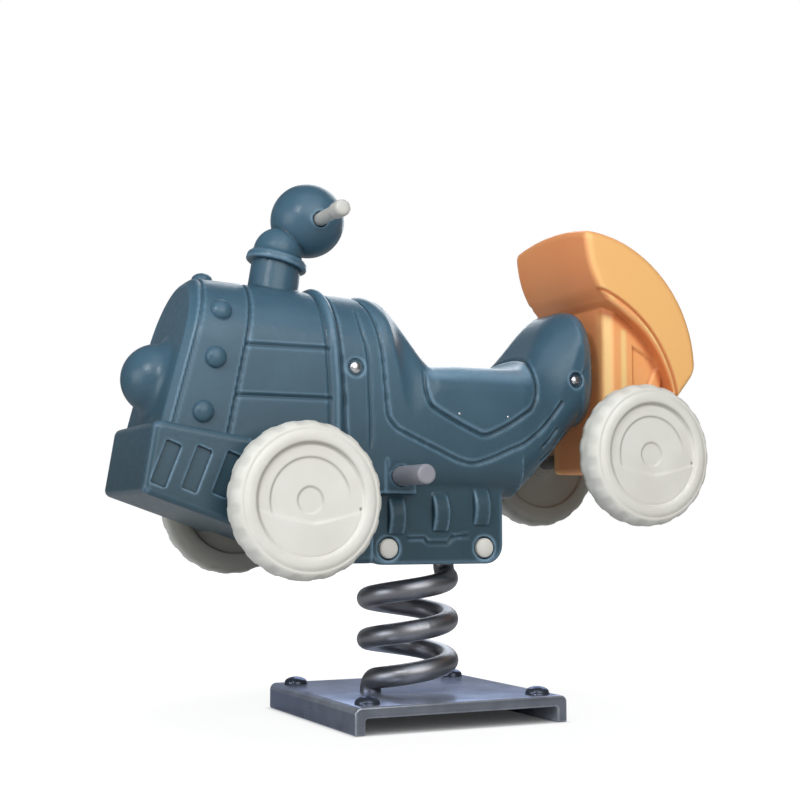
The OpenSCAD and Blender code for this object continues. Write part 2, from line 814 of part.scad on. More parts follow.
module saddle_shell() {
    bracket_room = tongue_play / 2;
    room_l = housing_l - 2 * shell_wall;
    room_w = housing_w - 2 * shell_wall;
    pad_root = footrest_pad_y - 3 * shell_wall;
    color(shell_blue) on_deck() difference() {
        union() {
            difference() {
                union() {
                    saddle_form(0);
                    housing_form();
                    tongue_form(parting_x - 2 * shell_wall, tongue_front, 0);
                }
                saddle_form(shell_wall);
                tongue_form(parting_x - 4 * shell_wall, tongue_front + over, shell_wall);
                translate([-room_l / 2, -room_w / 2, pocket_roof + shell_wall])
                    cube([room_l, room_w, belly_z + 2 * shell_wall - pocket_roof]);
            }
            intersection() {
                saddle_form(0);
                union() {
                    tail_socket(shell_wall);
                    cross_rod(footrest_x, footrest_z, footrest_bar_d / 2 + shell_wall, -saddle_w, saddle_w);
                    both_sides() cross_rod(tender_screw_x, tender_tongue_z, boss_d / 2,
                                           tender_tongue_w / 2 + over, cantle_w);
                }
            }
            both_sides() {
                cross_rod(footrest_x, footrest_z, footrest_pad_d / 2, pad_root, footrest_pad_y);
                cross_rod(boiler_screw_x, boiler_screw_z, boss_d / 2,
                          tongue_face_y - insert_l - shell_wall, tongue_face_y - over);
            }
        }
        translate([-bracket_l / 2 - bracket_room, -bracket_w / 2 - bracket_room, -over])
            cube([bracket_l + 2 * bracket_room, bracket_w + 2 * bracket_room, pocket_roof + over]);
        tail_socket(0);
        cross_rod(footrest_x, footrest_z, footrest_bar_d / 2 + hole_play, -saddle_w, saddle_w);
        both_sides() {
            deck_bolt_places() {
                cross_rod(0, 0, deck_bolt_d / 2 + hole_play, 0, housing_w);
                cross_rod(0, 0, cap_pocket_d / 2, cap_floor_y, housing_w);
            }
            cross_rod(boiler_screw_x, boiler_screw_z, insert_d / 2 + hole_play,
                      tongue_face_y - insert_l, tongue_face_y + over);
            cross_rod(boiler_screw_x, boiler_screw_z, screw_d / 2 + hole_play,
                      tongue_face_y - insert_l - 2 * shell_wall, tongue_face_y);
            cross_rod(tender_screw_x, tender_tongue_z, screw_d / 2 + hole_play, 0, cantle_w);
            cross_rod(tender_screw_x, tender_tongue_z, dimple_d / 2, tender_head_y, cantle_w);
            cross_rod(footrest_x, footrest_z, footrest_d / 2 + hole_play, footrest_pad_y, saddle_w);
        }
    }
}

// Boiler moulding: barrel, nose plate, bumper, keel, chimney and handle ball

boiler_half = boiler_w / 2;
function boiler_top(x) =
    boiler_rear_z + (boiler_front_z - boiler_rear_z) * (x - parting_x) / (nose_x - parting_x);
function keel(x) = keel_z + (keel_front_z - keel_z) * max(0, x - keel_rear) / (nose_x - keel_rear);

function boiler_section(low, high, wall) =
    section(boiler_half - wall, low + wall, high - wall, keel_edge_r - wall, boiler_top_r - wall);

// Barrel and keel; the rear end is open where a wall is given
module boiler_form(wall) {
    rear = wall == 0 ? parting_x + seam_gap : parting_x - over;
    draw = wall + nose_bevel;
    bevel_sec = section(boiler_half - draw, keel_front_z + draw, boiler_front_z - draw,
                        keel_edge_r - wall, boiler_top_r - draw);
    nose_sec = boiler_section(keel_front_z, boiler_front_z, wall);
    loft([
        ring(rear, boiler_section(keel_z, boiler_top(rear), wall)),
        ring(keel_rear, boiler_section(keel_z, boiler_top(keel_rear), wall)),
        ring(nose_x - draw, nose_sec, nose_lean, nose_z),
        ring(nose_x - wall, bevel_sec, nose_lean, nose_z)
    ]);
}

module band_form() {
    top = boiler_top(band_x);
    sec = section(boiler_half + band_rise, 2 * keel_edge_r + keel_z, top + band_rise, keel_edge_r,
                  boiler_top_r + band_rise);
    low_sec = section(boiler_half - over, 2 * keel_edge_r + keel_z + band_rise, top - over, keel_edge_r,
                      boiler_top_r - over);
    x0 = band_x - band_w / 2;
    third = band_w / 3;
    loft([ring(x0, low_sec), ring(x0 + third, sec), ring(x0 + 2 * third, sec), ring(x0 + band_w, low_sec)]);
}

function bumper_top(x) = bumper_top_z - bumper_fall * (nose_x - x) / (nose_x - bumper_rear);

// Bumper, drawn in by a wall
module bumper_form(wall) {
    half = bumper_w / 2 - wall;
    face_x = bumper_front - wall;
    mid_z = (bumper_top_z + keel_front_z) / 2;
    function face_ring(back, draw) =
        let (x = face_x - back)
            ring(x, section(half - draw, keel(x) - bumper_drop + wall + draw * 0.6,
                            bumper_top(min(x, nose_x)) - wall - draw,
                            bumper_edge_r - wall / 2, bumper_edge_r - wall / 2), bumper_lean, mid_z);
    rear_x = bumper_rear + wall;
    loft([
        ring(rear_x, section(half, keel(rear_x) - bumper_drop + wall, bumper_top(rear_x) - wall,
                             bumper_edge_r - wall / 2, bumper_edge_r - wall / 2)),
        face_ring(bumper_round, 0),
        face_ring(bumper_round * 0.45, bumper_round * 0.12),
        face_ring(bumper_round * 0.12, bumper_round * 0.4),
        face_ring(0, bumper_round * 0.7)
    ]);
}

module bumper_slots() {
    fall = slot_pitch * bumper_fall / (nose_x - bumper_rear);
    for (i = [0:2])
        translate([slot_x - i * slot_pitch, bumper_w / 2 - slot_depth, slot_z - i * fall])
            rotate([0, -slot_slant, 0]) translate([-slot_w / 2, 0, -slot_l / 2])
                cube([slot_w, slot_depth + over, slot_l]);
}

// Half width of the boiler's skin at a height
function skin_y(x, z) =
    let (mid = boiler_top(x) - boiler_top_r)
        z < mid ? boiler_half :
        boiler_half - boiler_top_r + sqrt(max(0, pow(boiler_top_r, 2) - pow(z - mid, 2)));

module rivets() {
    sink = rivet_ball_d / 2 - rivet_rise;
    for (i = [-1:1]) {
        z = rivet_z + i * rivet_pitch;
        x = rivet_x - i * rivet_pitch * tan(rivet_lean);
        both_sides() translate([x, skin_y(x, z) - sink, z]) sphere(d = rivet_ball_d);
    }
    top_x = rivet_x - (boiler_top(rivet_x) - rivet_z) * tan(rivet_lean);
    translate([top_x, 0, boiler_top(top_x) - sink]) sphere(d = rivet_ball_d);
}

chimney_foot_z = boiler_top(chimney_x);
collar_x = chimney_x - chimney_h * tan(chimney_lean);
collar_z = chimney_foot_z + chimney_h;
dome_x = collar_x - dome_up * tan(chimney_lean);
dome_z = collar_z + dome_up;
ball_x = dome_x - ball_back;
ball_z = dome_z + ball_up;
handle_z = ball_z - handle_drop;
lamp_x = nose_x - (lamp_z - nose_z) * tan(nose_lean) - lamp_sink;

// Chimney, dome, ball and lamp, drawn in by a wall
module stack_form(wall) {
    root = 2 * shell_wall + boiler_top_r - sqrt(pow(boiler_top_r, 2) - pow(chimney_d / 2, 2));
    translate([collar_x, 0, collar_z]) {
        rotate([0, -chimney_lean, 0]) translate([0, 0, -chimney_h - root])
            cylinder(d = chimney_d - 2 * wall, h = chimney_h + root);
        if (wall == 0)
            rotate([0, -collar_lean, 0]) rotate_extrude()
                translate([(collar_d - collar_t) / 2, 0]) circle(d = collar_t);
    }
    translate([dome_x, 0, dome_z]) sphere(d = dome_d - 2 * wall);
    translate([ball_x, 0, ball_z]) sphere(d = ball_d - 2 * wall);
    translate([lamp_x, 0, lamp_z]) rotate([0, 0, 180]) sphere(d = lamp_d - 2 * wall);
}

module boiler_shell() {
    tunnel_end = boiler_half - over;
    color(shell_blue) on_deck() difference() {
        union() {
            difference() {
                union() {
                    boiler_form(0);
                    band_form();
                    bumper_form(0);
                    stack_form(0);
                    rivets();
                }
                boiler_form(shell_wall);
                bumper_form(shell_wall);
                stack_form(shell_wall);
            }
            cross_rod(front_axle_x, front_axle_z, axle_d / 2 + shell_wall, -tunnel_end, tunnel_end);
            intersection() {
                translate([ball_x, 0, ball_z]) sphere(d = ball_d - 2 * over);
                union() {
                    cross_rod(ball_x, handle_z, handle_bar_d / 2 + shell_wall, -grip_seat, grip_seat);
                    both_sides() cross_rod(ball_x, handle_z, grip_socket_d / 2 + shell_wall,
                                           grip_seat - shell_wall, ball_d);
                }
            }
        }
        cross_rod(front_axle_x, front_axle_z, axle_d / 2 + hole_play, -boiler_w, boiler_w);
        cross_rod(ball_x, handle_z, handle_bar_d / 2 + hole_play, -ball_d, ball_d);
        both_sides() {
            cross_rod(ball_x, handle_z, grip_socket_d / 2, grip_seat, ball_d);
            cross_rod(boiler_screw_x, boiler_screw_z, screw_d / 2 + hole_play, 0, boiler_w);
            cross_rod(boiler_screw_x, boiler_screw_z, dimple_d / 2, boiler_head_y, boiler_w);
            bumper_slots();
        }
    }
}

// Screws that hold the three mouldings together, and their inserts

boiler_head_y = boiler_half - dimple_depth;
tender_head_y = cantle_w / 2 - dimple_depth - over;

module shell_screw(x, z, head_y, tip_y) {
    cross_rod(x, z, screw_d / 2, tip_y, head_y);
    translate([x, head_y, z]) rotate([-90, 0, 0]) dome_head(screw_head_d, screw_head_h);
}

module insert(x, z, face_y) {
    difference() {
        cross_rod(x, z, insert_d / 2, face_y - insert_l, face_y);
        cross_rod(x, z, screw_d / 2 + hole_play / 2, face_y - insert_l - over, face_y + over);
    }
}

module boiler_screws() {
    color(bright_steel) on_deck() both_sides()
        shell_screw(boiler_screw_x, boiler_screw_z, boiler_head_y, tongue_face_y - insert_l);
}

module boiler_inserts() {
    color(brass_yellow) on_deck() both_sides() insert(boiler_screw_x, boiler_screw_z, tongue_face_y);
}

module tender_screws() {
    color(bright_steel) on_deck() both_sides()
        shell_screw(tender_screw_x, tender_tongue_z, tender_head_y, tender_tongue_w / 2 - insert_l);
}

module tender_inserts() {
    color(brass_yellow) on_deck() both_sides() insert(tender_screw_x, tender_tongue_z, tender_tongue_w / 2);
}

// Tender moulding: post, hood and the tongue that slides into the tail

hood_in_x = hood_x - hood_in_back;
hood_in_z = hood_z - hood_in_down;

// Height of the post's top, which ends halfway through the hood
function post_top(x) =
    let (r = (hood_r + hood_in_r) / 2 - post_edge_r)
        (hood_z + hood_in_z) / 2 + sqrt(max(0, pow(r, 2) - pow(x - (hood_x + hood_in_x) / 2, 2)));

module post_form(wall) {
    half = post_w / 2 - wall;
    r = post_edge_r;
    function post_ring(x, draw) =
        ring(x, section(half - draw, post_floor_z + wall, post_top(x) - wall, r, r));
    front = post_front - wall;
    rear = post_rear + wall;
    loft([
        post_ring(rear, r * 0.7), post_ring(rear + r * 0.3, r * 0.3), post_ring(rear + r, 0),
        post_ring((front + rear) / 2, 0), post_ring(front - r, 0), post_ring(front - r * 0.3, r * 0.3),
        post_ring(front, r * 0.7)
    ]);
}

// Ring of the hood at a share of its length, from its rear end, 0, to its front, 1
function hood_ring(t, wall, draw) =
    let (
        a_out = hood_rear_a + (hood_front_a - hood_rear_a) * t,
        front_in = hood_front_a + 2,
        rear_in = hood_rear_a - 9,
        a_in = rear_in + (front_in - rear_in) * t,
        r_out = hood_r - wall - draw,
        r_in = hood_in_r + wall + draw,
        p_out = [hood_x + r_out * cos(a_out), hood_z + r_out * sin(a_out)],
        p_in = [hood_in_x + r_in * cos(a_in), hood_in_z + r_in * sin(a_in)],
        depth = norm(p_out - p_in),
        dir = (p_out - p_in) / depth,
        edge = min(hood_edge_r, depth / 2 - 0.5),
        sec = section(hood_w / 2 - wall - draw, 0, depth, edge, edge, hood_crown)
    )
    [for (p = sec) [p_in[0] + dir[0] * p[1], p[0], p_in[1] + dir[1] * p[1]]];

module hood_form(wall) {
    bevel = hood_edge_r * 0.5;
    trim = (wall + bevel) / hood_r * 180 / PI / (hood_rear_a - hood_front_a);
    tip = wall / hood_r * 180 / PI / (hood_rear_a - hood_front_a);
    loft(concat(
        [hood_ring(tip, wall, bevel)],
        [for (i = [0:hood_steps]) hood_ring(trim + (1 - 2 * trim) * i / hood_steps, wall, 0)],
        [hood_ring(1 - tip, wall, bevel)]
    ));
}

module tender_tongue(wall) {
    half_w = tender_tongue_w / 2 - wall;
    half_h = tender_tongue_h / 2 - wall;
    x0 = post_front - 2 * shell_wall - wall;
    x1 = wall == 0 ? tender_tongue_front : tender_tongue_front + over;
    translate([x0, -half_w, tender_tongue_z - half_h]) cube([x1 - x0, 2 * half_w, 2 * half_h]);
}

module tender_shell() {
    tunnel_end = post_w / 2 - over;
    color(tender_orange) on_deck() difference() {
        union() {
            difference() {
                union() {
                    post_form(0);
                    hood_form(0);
                    tender_tongue(0);
                }
                post_form(shell_wall);
                hood_form(shell_wall);
                tender_tongue(shell_wall);
            }
            cross_rod(rear_axle_x, rear_axle_z, axle_d / 2 + shell_wall, -tunnel_end, tunnel_end);
            both_sides() cross_rod(tender_screw_x, tender_tongue_z, boss_d / 2,
                                   tender_tongue_w / 2 - insert_l - shell_wall, tender_tongue_w / 2 - over);
        }
        cross_rod(rear_axle_x, rear_axle_z, axle_d / 2 + hole_play, -post_w, post_w);
        both_sides() {
            cross_rod(tender_screw_x, tender_tongue_z, insert_d / 2 + hole_play,
                      tender_tongue_w / 2 - insert_l, tender_tongue_w);
            cross_rod(tender_screw_x, tender_tongue_z, screw_d / 2 + hole_play,
                      tender_tongue_w / 2 - insert_l - 2 * shell_wall, tender_tongue_w);
        }
    }
}

// Handle and footrest: a steel bar each, with a moulded sleeve on both ends

// Sleeve from y0 to y1 with a rounded closed end, over a bar that stops short of it by the end's thickness
module sleeve(x, z, d, bar_d, y0, y1, end) {
    r = d / 2;
    round_r = end * 0.8;
    l = y1 - y0;
    outline = concat([[0, 0], [r, 0]], arc(r - round_r, l - round_r, round_r, 0, 90, 6), [[0, l]]);
    translate([x, y0, z]) rotate([-90, 0, 0]) difference() {
        rotate_extrude() polygon(outline);
        translate([0, 0, -over]) cylinder(r = bar_d / 2 + hole_play, h = l - end + over);
    }
}

module grip() {
    sleeve(ball_x, handle_z, grip_d, handle_bar_d, grip_seat, handle_l / 2, grip_end);
}

module footrest_sleeve() {
    sleeve(footrest_x, footrest_z, footrest_d, footrest_bar_d, footrest_pad_y, footrest_l / 2, grip_end);
}

module handle_bar() {
    half = handle_l / 2 - grip_end;
    color(bright_steel) on_deck() cross_rod(ball_x, handle_z, handle_bar_d / 2, -half, half);
}

module left_grip() {
    color(grip_grey) on_deck() grip();
}

module right_grip() {
    color(grip_grey) on_deck() mirror([0, 1, 0]) grip();
}

module footrest_bar() {
    half = footrest_l / 2 - grip_end;
    color(bright_steel) on_deck() cross_rod(footrest_x, footrest_z, footrest_bar_d / 2, -half, half);
}

module left_footrest_sleeve() {
    color(peg_grey) on_deck() footrest_sleeve();
}

module right_footrest_sleeve() {
    color(peg_grey) on_deck() mirror([0, 1, 0]) footrest_sleeve();
}

// Axles, spacers, washers and nuts

front_axle_at = [front_axle_x, front_axle_z];
rear_axle_at = [rear_axle_x, rear_axle_z];

module axle(at) {
    color(bright_steel) on_deck() cross_rod(at[0], at[1], axle_d / 2, -axle_half, axle_half);
}

module front_axle() {
    axle(front_axle_at);
}

module rear_axle() {
    axle(rear_axle_at);
}

// Tube on the axle between y0 and y1
module axle_tube(at, r, y0, y1) {
    difference() {
        cross_rod(at[0], at[1], r, y0, y1);
        cross_rod(at[0], at[1], axle_d / 2 + hole_play / 2, y0 - over, y1 + over);
    }
}

module front_spacers() {
    color(spring_grey) on_deck() both_sides()
        axle_tube(front_axle_at, spacer_d / 2, boiler_half, wheel_inner_y - side_play);
}

module rear_spacers() {
    color(spring_grey) on_deck() both_sides()
        axle_tube(rear_axle_at, spacer_d / 2, post_w / 2, wheel_inner_y - side_play);
}

washer_y = wheel_inner_y + pocket_floor + side_play;

module axle_washers() {
    color(bright_steel) on_deck() both_sides() for (at = [front_axle_at, rear_axle_at])
        axle_tube(at, washer_d / 2, washer_y, washer_y + washer_t);
}

module axle_nuts() {
    color(bright_steel) on_deck() both_sides() for (at = [front_axle_at, rear_axle_at]) difference() {
        translate([at[0], washer_y + washer_t, at[1]]) rotate([-90, 0, 0])
            cylinder(d = nut_d, h = nut_h, $fn = 6);
        cross_rod(at[0], at[1], axle_d / 2 + hole_play / 2, washer_y, washer_y + washer_t + nut_h + over);
    }
}

// Wheels and hub caps

wheel_r = wheel_d / 2;
disc_r = disc_d / 2;

// Wheel with its inner face on Z = 0; the vent lies below the axle by a little
module wheel_form(side) {
    wall = wheel_wall;
    tread = concat(
        arc(wheel_r - tyre_r, tyre_r, tyre_r, -90, 0, 6),
        arc(wheel_r - tyre_r, wheel_t - tyre_r, tyre_r, 0, 90, 6)
    );
    hollow = concat(
        [[hub_d / 2, wall]],
        arc(wheel_r - tyre_r, tyre_r, tyre_r - wall, -90, 0, 6),
        arc(wheel_r - tyre_r, wheel_t - tyre_r, tyre_r - wall, 0, 60, 4),
        [[disc_r + wall, wheel_t - tyre_r], [disc_r + wall, disc_face - wall]],
        [[hub_d / 2, disc_face - wall]]
    );
    vent_fall = 5;
    difference() {
        rotate_extrude() polygon(concat(
            [[0, 0]], tread, [[disc_r + disc_depth / 2, wheel_t], [disc_r, disc_face], [0, disc_face]]
        ));
        rotate_extrude() polygon(hollow);
        translate([0, 0, -over]) cylinder(r = axle_d / 2 + running_play, h = wheel_t + 2 * over);
        translate([0, 0, pocket_floor]) cylinder(d = hub_pocket_d, h = wheel_t);
        translate([-vent_r, side * vent_fall, disc_face - 2 * wall]) cylinder(d = vent_d, h = wheel_t);
    }
}

module hub_cap_form() {
    cap_bevel = hub_cap_t * 0.4;
    translate([0, 0, disc_face]) {
        cylinder(d = hub_cap_d, h = hub_cap_t - cap_bevel);
        translate([0, 0, hub_cap_t - cap_bevel])
            cylinder(d1 = hub_cap_d, d2 = hub_cap_d - 2 * cap_bevel, h = cap_bevel);
        translate([0, 0, -hub_plug]) cylinder(r = hub_pocket_d / 2 - hole_play, h = hub_plug);
    }
}

// Place a wheel's piece on its axle; side is 1 on the left and -1 on the right
module at_wheel(at, side) {
    on_deck() translate([at[0], side * wheel_inner_y, at[1]]) rotate([-90 * side, 0, 0]) children();
}

module wheel(at, side) {
    color(wheel_cream) at_wheel(at, side) wheel_form(side);
}

module hub_cap(at, side) {
    color(wheel_cream) at_wheel(at, side) hub_cap_form();
}

module front_left_wheel() {
    wheel(front_axle_at, 1);
}

module front_right_wheel() {
    wheel(front_axle_at, -1);
}

module rear_left_wheel() {
    wheel(rear_axle_at, 1);
}

module rear_right_wheel() {
    wheel(rear_axle_at, -1);
}

module front_left_hub_cap() {
    hub_cap(front_axle_at, 1);
}

module front_right_hub_cap() {
    hub_cap(front_axle_at, -1);
}

module rear_left_hub_cap() {
    hub_cap(rear_axle_at, 1);
}

module rear_right_hub_cap() {
    hub_cap(rear_axle_at, -1);
}

base_plate();
anchor_nuts();
lower_socket();
lower_socket_screws();
coil_spring();
deck_bracket();
upper_socket();
upper_socket_screws();
deck_bolts();
deck_nuts();
bolt_caps();
saddle_shell();
boiler_shell();
boiler_screws();
boiler_inserts();
tender_shell();
tender_screws();
tender_inserts();
handle_bar();
left_grip();
right_grip();
footrest_bar();
left_footrest_sleeve();
right_footrest_sleeve();
front_axle();
rear_axle();
front_spacers();
rear_spacers();
axle_washers();
axle_nuts();
front_left_wheel();
front_right_wheel();
rear_left_wheel();
rear_right_wheel();
front_left_hub_cap();
front_right_hub_cap();
rear_left_hub_cap();
rear_right_hub_cap();
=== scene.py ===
import json
import math
import bmesh
import bpy
import numpy as np
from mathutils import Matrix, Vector


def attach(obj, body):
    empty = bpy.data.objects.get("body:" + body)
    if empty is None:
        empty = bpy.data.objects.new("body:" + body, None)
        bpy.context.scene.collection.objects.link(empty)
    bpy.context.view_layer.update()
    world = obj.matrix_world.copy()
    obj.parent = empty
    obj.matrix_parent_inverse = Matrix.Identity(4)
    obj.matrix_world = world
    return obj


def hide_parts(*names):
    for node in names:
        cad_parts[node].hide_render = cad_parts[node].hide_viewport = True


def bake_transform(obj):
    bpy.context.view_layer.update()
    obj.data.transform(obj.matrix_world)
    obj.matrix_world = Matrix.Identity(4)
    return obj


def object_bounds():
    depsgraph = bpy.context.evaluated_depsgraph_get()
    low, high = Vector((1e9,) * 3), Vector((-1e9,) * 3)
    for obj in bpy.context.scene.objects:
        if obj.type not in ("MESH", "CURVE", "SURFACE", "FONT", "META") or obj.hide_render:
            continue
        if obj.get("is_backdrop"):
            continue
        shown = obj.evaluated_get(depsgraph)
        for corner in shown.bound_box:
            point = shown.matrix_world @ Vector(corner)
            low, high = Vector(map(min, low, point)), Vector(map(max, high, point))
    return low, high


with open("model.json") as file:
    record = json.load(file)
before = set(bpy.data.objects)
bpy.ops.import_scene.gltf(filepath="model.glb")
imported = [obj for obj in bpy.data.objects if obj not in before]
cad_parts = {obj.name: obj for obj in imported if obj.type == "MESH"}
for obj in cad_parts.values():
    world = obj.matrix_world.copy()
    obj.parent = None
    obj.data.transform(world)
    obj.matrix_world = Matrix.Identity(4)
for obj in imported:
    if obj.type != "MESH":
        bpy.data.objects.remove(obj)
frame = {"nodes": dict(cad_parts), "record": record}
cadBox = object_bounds()
cadNodes = frame["nodes"]
scene = bpy.context.scene


def addObject(name, data):
    obj = bpy.data.objects.new(name, data)
    scene.collection.objects.link(obj)
    return obj


def aim(obj, look):
    obj.rotation_mode = "QUATERNION"
    obj.rotation_quaternion = Vector(look).to_track_quat("-Z", "Y")


def emptyTree(owner):
    owner.use_nodes = True
    owner.node_tree.nodes.clear()
    return owner.node_tree


def addNode(tree, kind, values=None, **props):
    node = tree.nodes.new(kind)
    for key, value in props.items():
        setattr(node, key, value)
    for key, value in (values or {}).items():
        node.inputs[key].default_value = value
    return node


def linkAll(tree, *rows):
    for a, outKey, b, inKey in rows:
        tree.links.new(a.outputs[outKey], b.inputs[inKey])


photoView = {
    "place": (0.9434, 1.9366, 0.2885),
    "look": (-0.42802, -0.89932, 0.08966),
    "lens": 62.448,
    "sensor": 36.0,
}


def makeCamera(s):
    data = bpy.data.cameras.new("photoCamera")
    data.lens, data.sensor_width = s["lens"], s["sensor"]
    cam = addObject("photoCamera", data)
    cam.location = s["place"]
    aim(cam, s["look"])
    scene.camera = cam


floorLook = {"size": 30.0, "colour": (0.62, 0.62, 0.62, 1.0), "glow": 1.20, "clear": (0.30, 0.85), "near": 0.72,
             "foot": (0.158, 0.182), "underPlate": 0.03}


def makeFloor(s):
    mesh = bpy.data.meshes.new("floor")
    h = s["size"] / 2
    mesh.from_pydata([(-h, -h, 0), (h, -h, 0), (h, h, 0), (-h, h, 0)], [], [(0, 1, 2, 3)])
    mat = bpy.data.materials.new("floorWhite")
    t = emptyTree(mat)
    out = addNode(t, "ShaderNodeOutputMaterial")
    paint = addNode(t, "ShaderNodeBsdfDiffuse", {"Color": s["colour"]})
    glow = addNode(t, "ShaderNodeEmission", {"Color": (1, 1, 1, 1), "Strength": s["glow"]})
    mix = addNode(t, "ShaderNodeMixShader")
    coord = addNode(t, "ShaderNodeTexCoord")
    reach = addNode(t, "ShaderNodeVectorMath", operation="LENGTH")
    fade = addNode(t, "ShaderNodeMapRange", {"From Min": s["clear"][0], "From Max": s["clear"][1]},
                   interpolation_type="SMOOTHSTEP")
    keep = addNode(t, "ShaderNodeMapRange", {"To Min": s["near"], "To Max": 1.0})
    away = addNode(t, "ShaderNodeVectorMath", operation="ABSOLUTE")
    sides = addNode(t, "ShaderNodeSeparateXYZ")
    square = addNode(t, "ShaderNodeMath", operation="MAXIMUM")
    foot = addNode(t, "ShaderNodeMapRange", {"From Min": s["foot"][0], "From Max": s["foot"][1],
                                             "To Min": s["underPlate"]}, interpolation_type="SMOOTHSTEP")
    shown = addNode(t, "ShaderNodeMath", operation="MULTIPLY")
    rays = addNode(t, "ShaderNodeLightPath")
    clear = addNode(t, "ShaderNodeMath", operation="MULTIPLY")
    linkAll(t, (coord, "Object", away, 0), (away, 0, sides, 0), (sides, "X", square, 0), (sides, "Y", square, 1),
            (square, "Value", foot, "Value"))  # the ground under the plate keeps its shade
    linkAll(t, (coord, "Object", reach, 0), (reach, "Value", fade, "Value"), (fade, "Result", keep, "Value"))
    linkAll(t, (keep, "Result", shown, 0), (foot, "Result", shown, 1), (shown, "Value", clear, 0),
            (rays, "Is Camera Ray", clear, 1), (clear, "Value", mix, 0), (paint, 0, mix, 1), (glow, 0, mix, 2),
            (mix, 0, out, 0))
    mesh.materials.append(mat)
    addObject("floor", mesh)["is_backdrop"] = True


roomLight = {
    "ambient": 0.10,
    "lamps": [
        # name, place, aim, width, height, watts, colour
        ("overhead", (0.25, 0.95, 2.0), (0.0, 0.0, 0.45), 1.7, 1.3, 9.0, (0.84, 0.92, 1.0)),
        ("key", (2.1, 1.6, 1.9), (0.0, 0.0, 0.45), 0.6, 0.6, 24.0, (1.0, 1.0, 1.0)),
        ("side", (0.1, 2.7, 1.6), (-0.1, 0.0, 0.45), 2.6, 2.2, 46.0, (1.0, 0.98, 0.95)),
        ("front", (4.4, 0.75, 0.75), (0.0, 0.0, 0.45), 2.6, 2.6, 66.0, (0.92, 0.97, 1.0)),
        ("far", (-1.4, -1.9, 1.9), (0.0, 0.0, 0.45), 2.0, 2.0, 32.0, (0.88, 0.94, 1.0)),
        ("backdrop", (-1.05, -2.2, 1.0), (0.0, 0.0, 0.4), 4.0, 2.0, 6.0, (0.9, 0.95, 1.0)),
    ],
}


def makeLight(s):
    scene.world = bpy.data.worlds.new("studio")
    t = emptyTree(scene.world)
    out = addNode(t, "ShaderNodeOutputWorld")
    soft = addNode(t, "ShaderNodeBackground", {"Color": (1, 1, 1, 1), "Strength": s["ambient"]})
    white = addNode(t, "ShaderNodeBackground", {"Color": (1, 1, 1, 1), "Strength": 1.0})
    mix = addNode(t, "ShaderNodeMixShader")
    rays = addNode(t, "ShaderNodeLightPath")
    linkAll(t, (rays, "Is Camera Ray", mix, 0), (soft, 0, mix, 1), (white, 0, mix, 2), (mix, 0, out, 0))
    for name, place, target, width, height, watts, colour in s["lamps"]:
        data = bpy.data.lights.new(name, "AREA")
        data.shape, data.size, data.size_y, data.energy = "RECTANGLE", width, height, watts
        data.color = colour
        lamp = addObject(name, data)
        lamp.location = place
        lamp.visible_camera = False
        aim(lamp, Vector(target) - Vector(place))


scene.view_settings.view_transform = "Standard"
makeCamera(photoView)
makeFloor(floorLook)
makeLight(roomLight)
print("view, floor and light set")


def srgb(r, g, b):
    def one(v):
        v /= 255
        return v / 12.92 if v <= 0.04045 else ((v + 0.055) / 1.055) ** 2.4
    return (one(r), one(g), one(b), 1.0)


skinSteps = {"cloud": (0.3, 0.7), "rise": (0.28, 0.58), "wearAndSheen": (0.3, 0.75)}


def tintOver(t, under, underKey, share, shareKey, colour):
    mix = addNode(t, "ShaderNodeMix", data_type="RGBA")
    mix.inputs[7].default_value = colour
    linkAll(t, (share, shareKey, mix, 0), (under, underKey, mix, 6))
    return mix


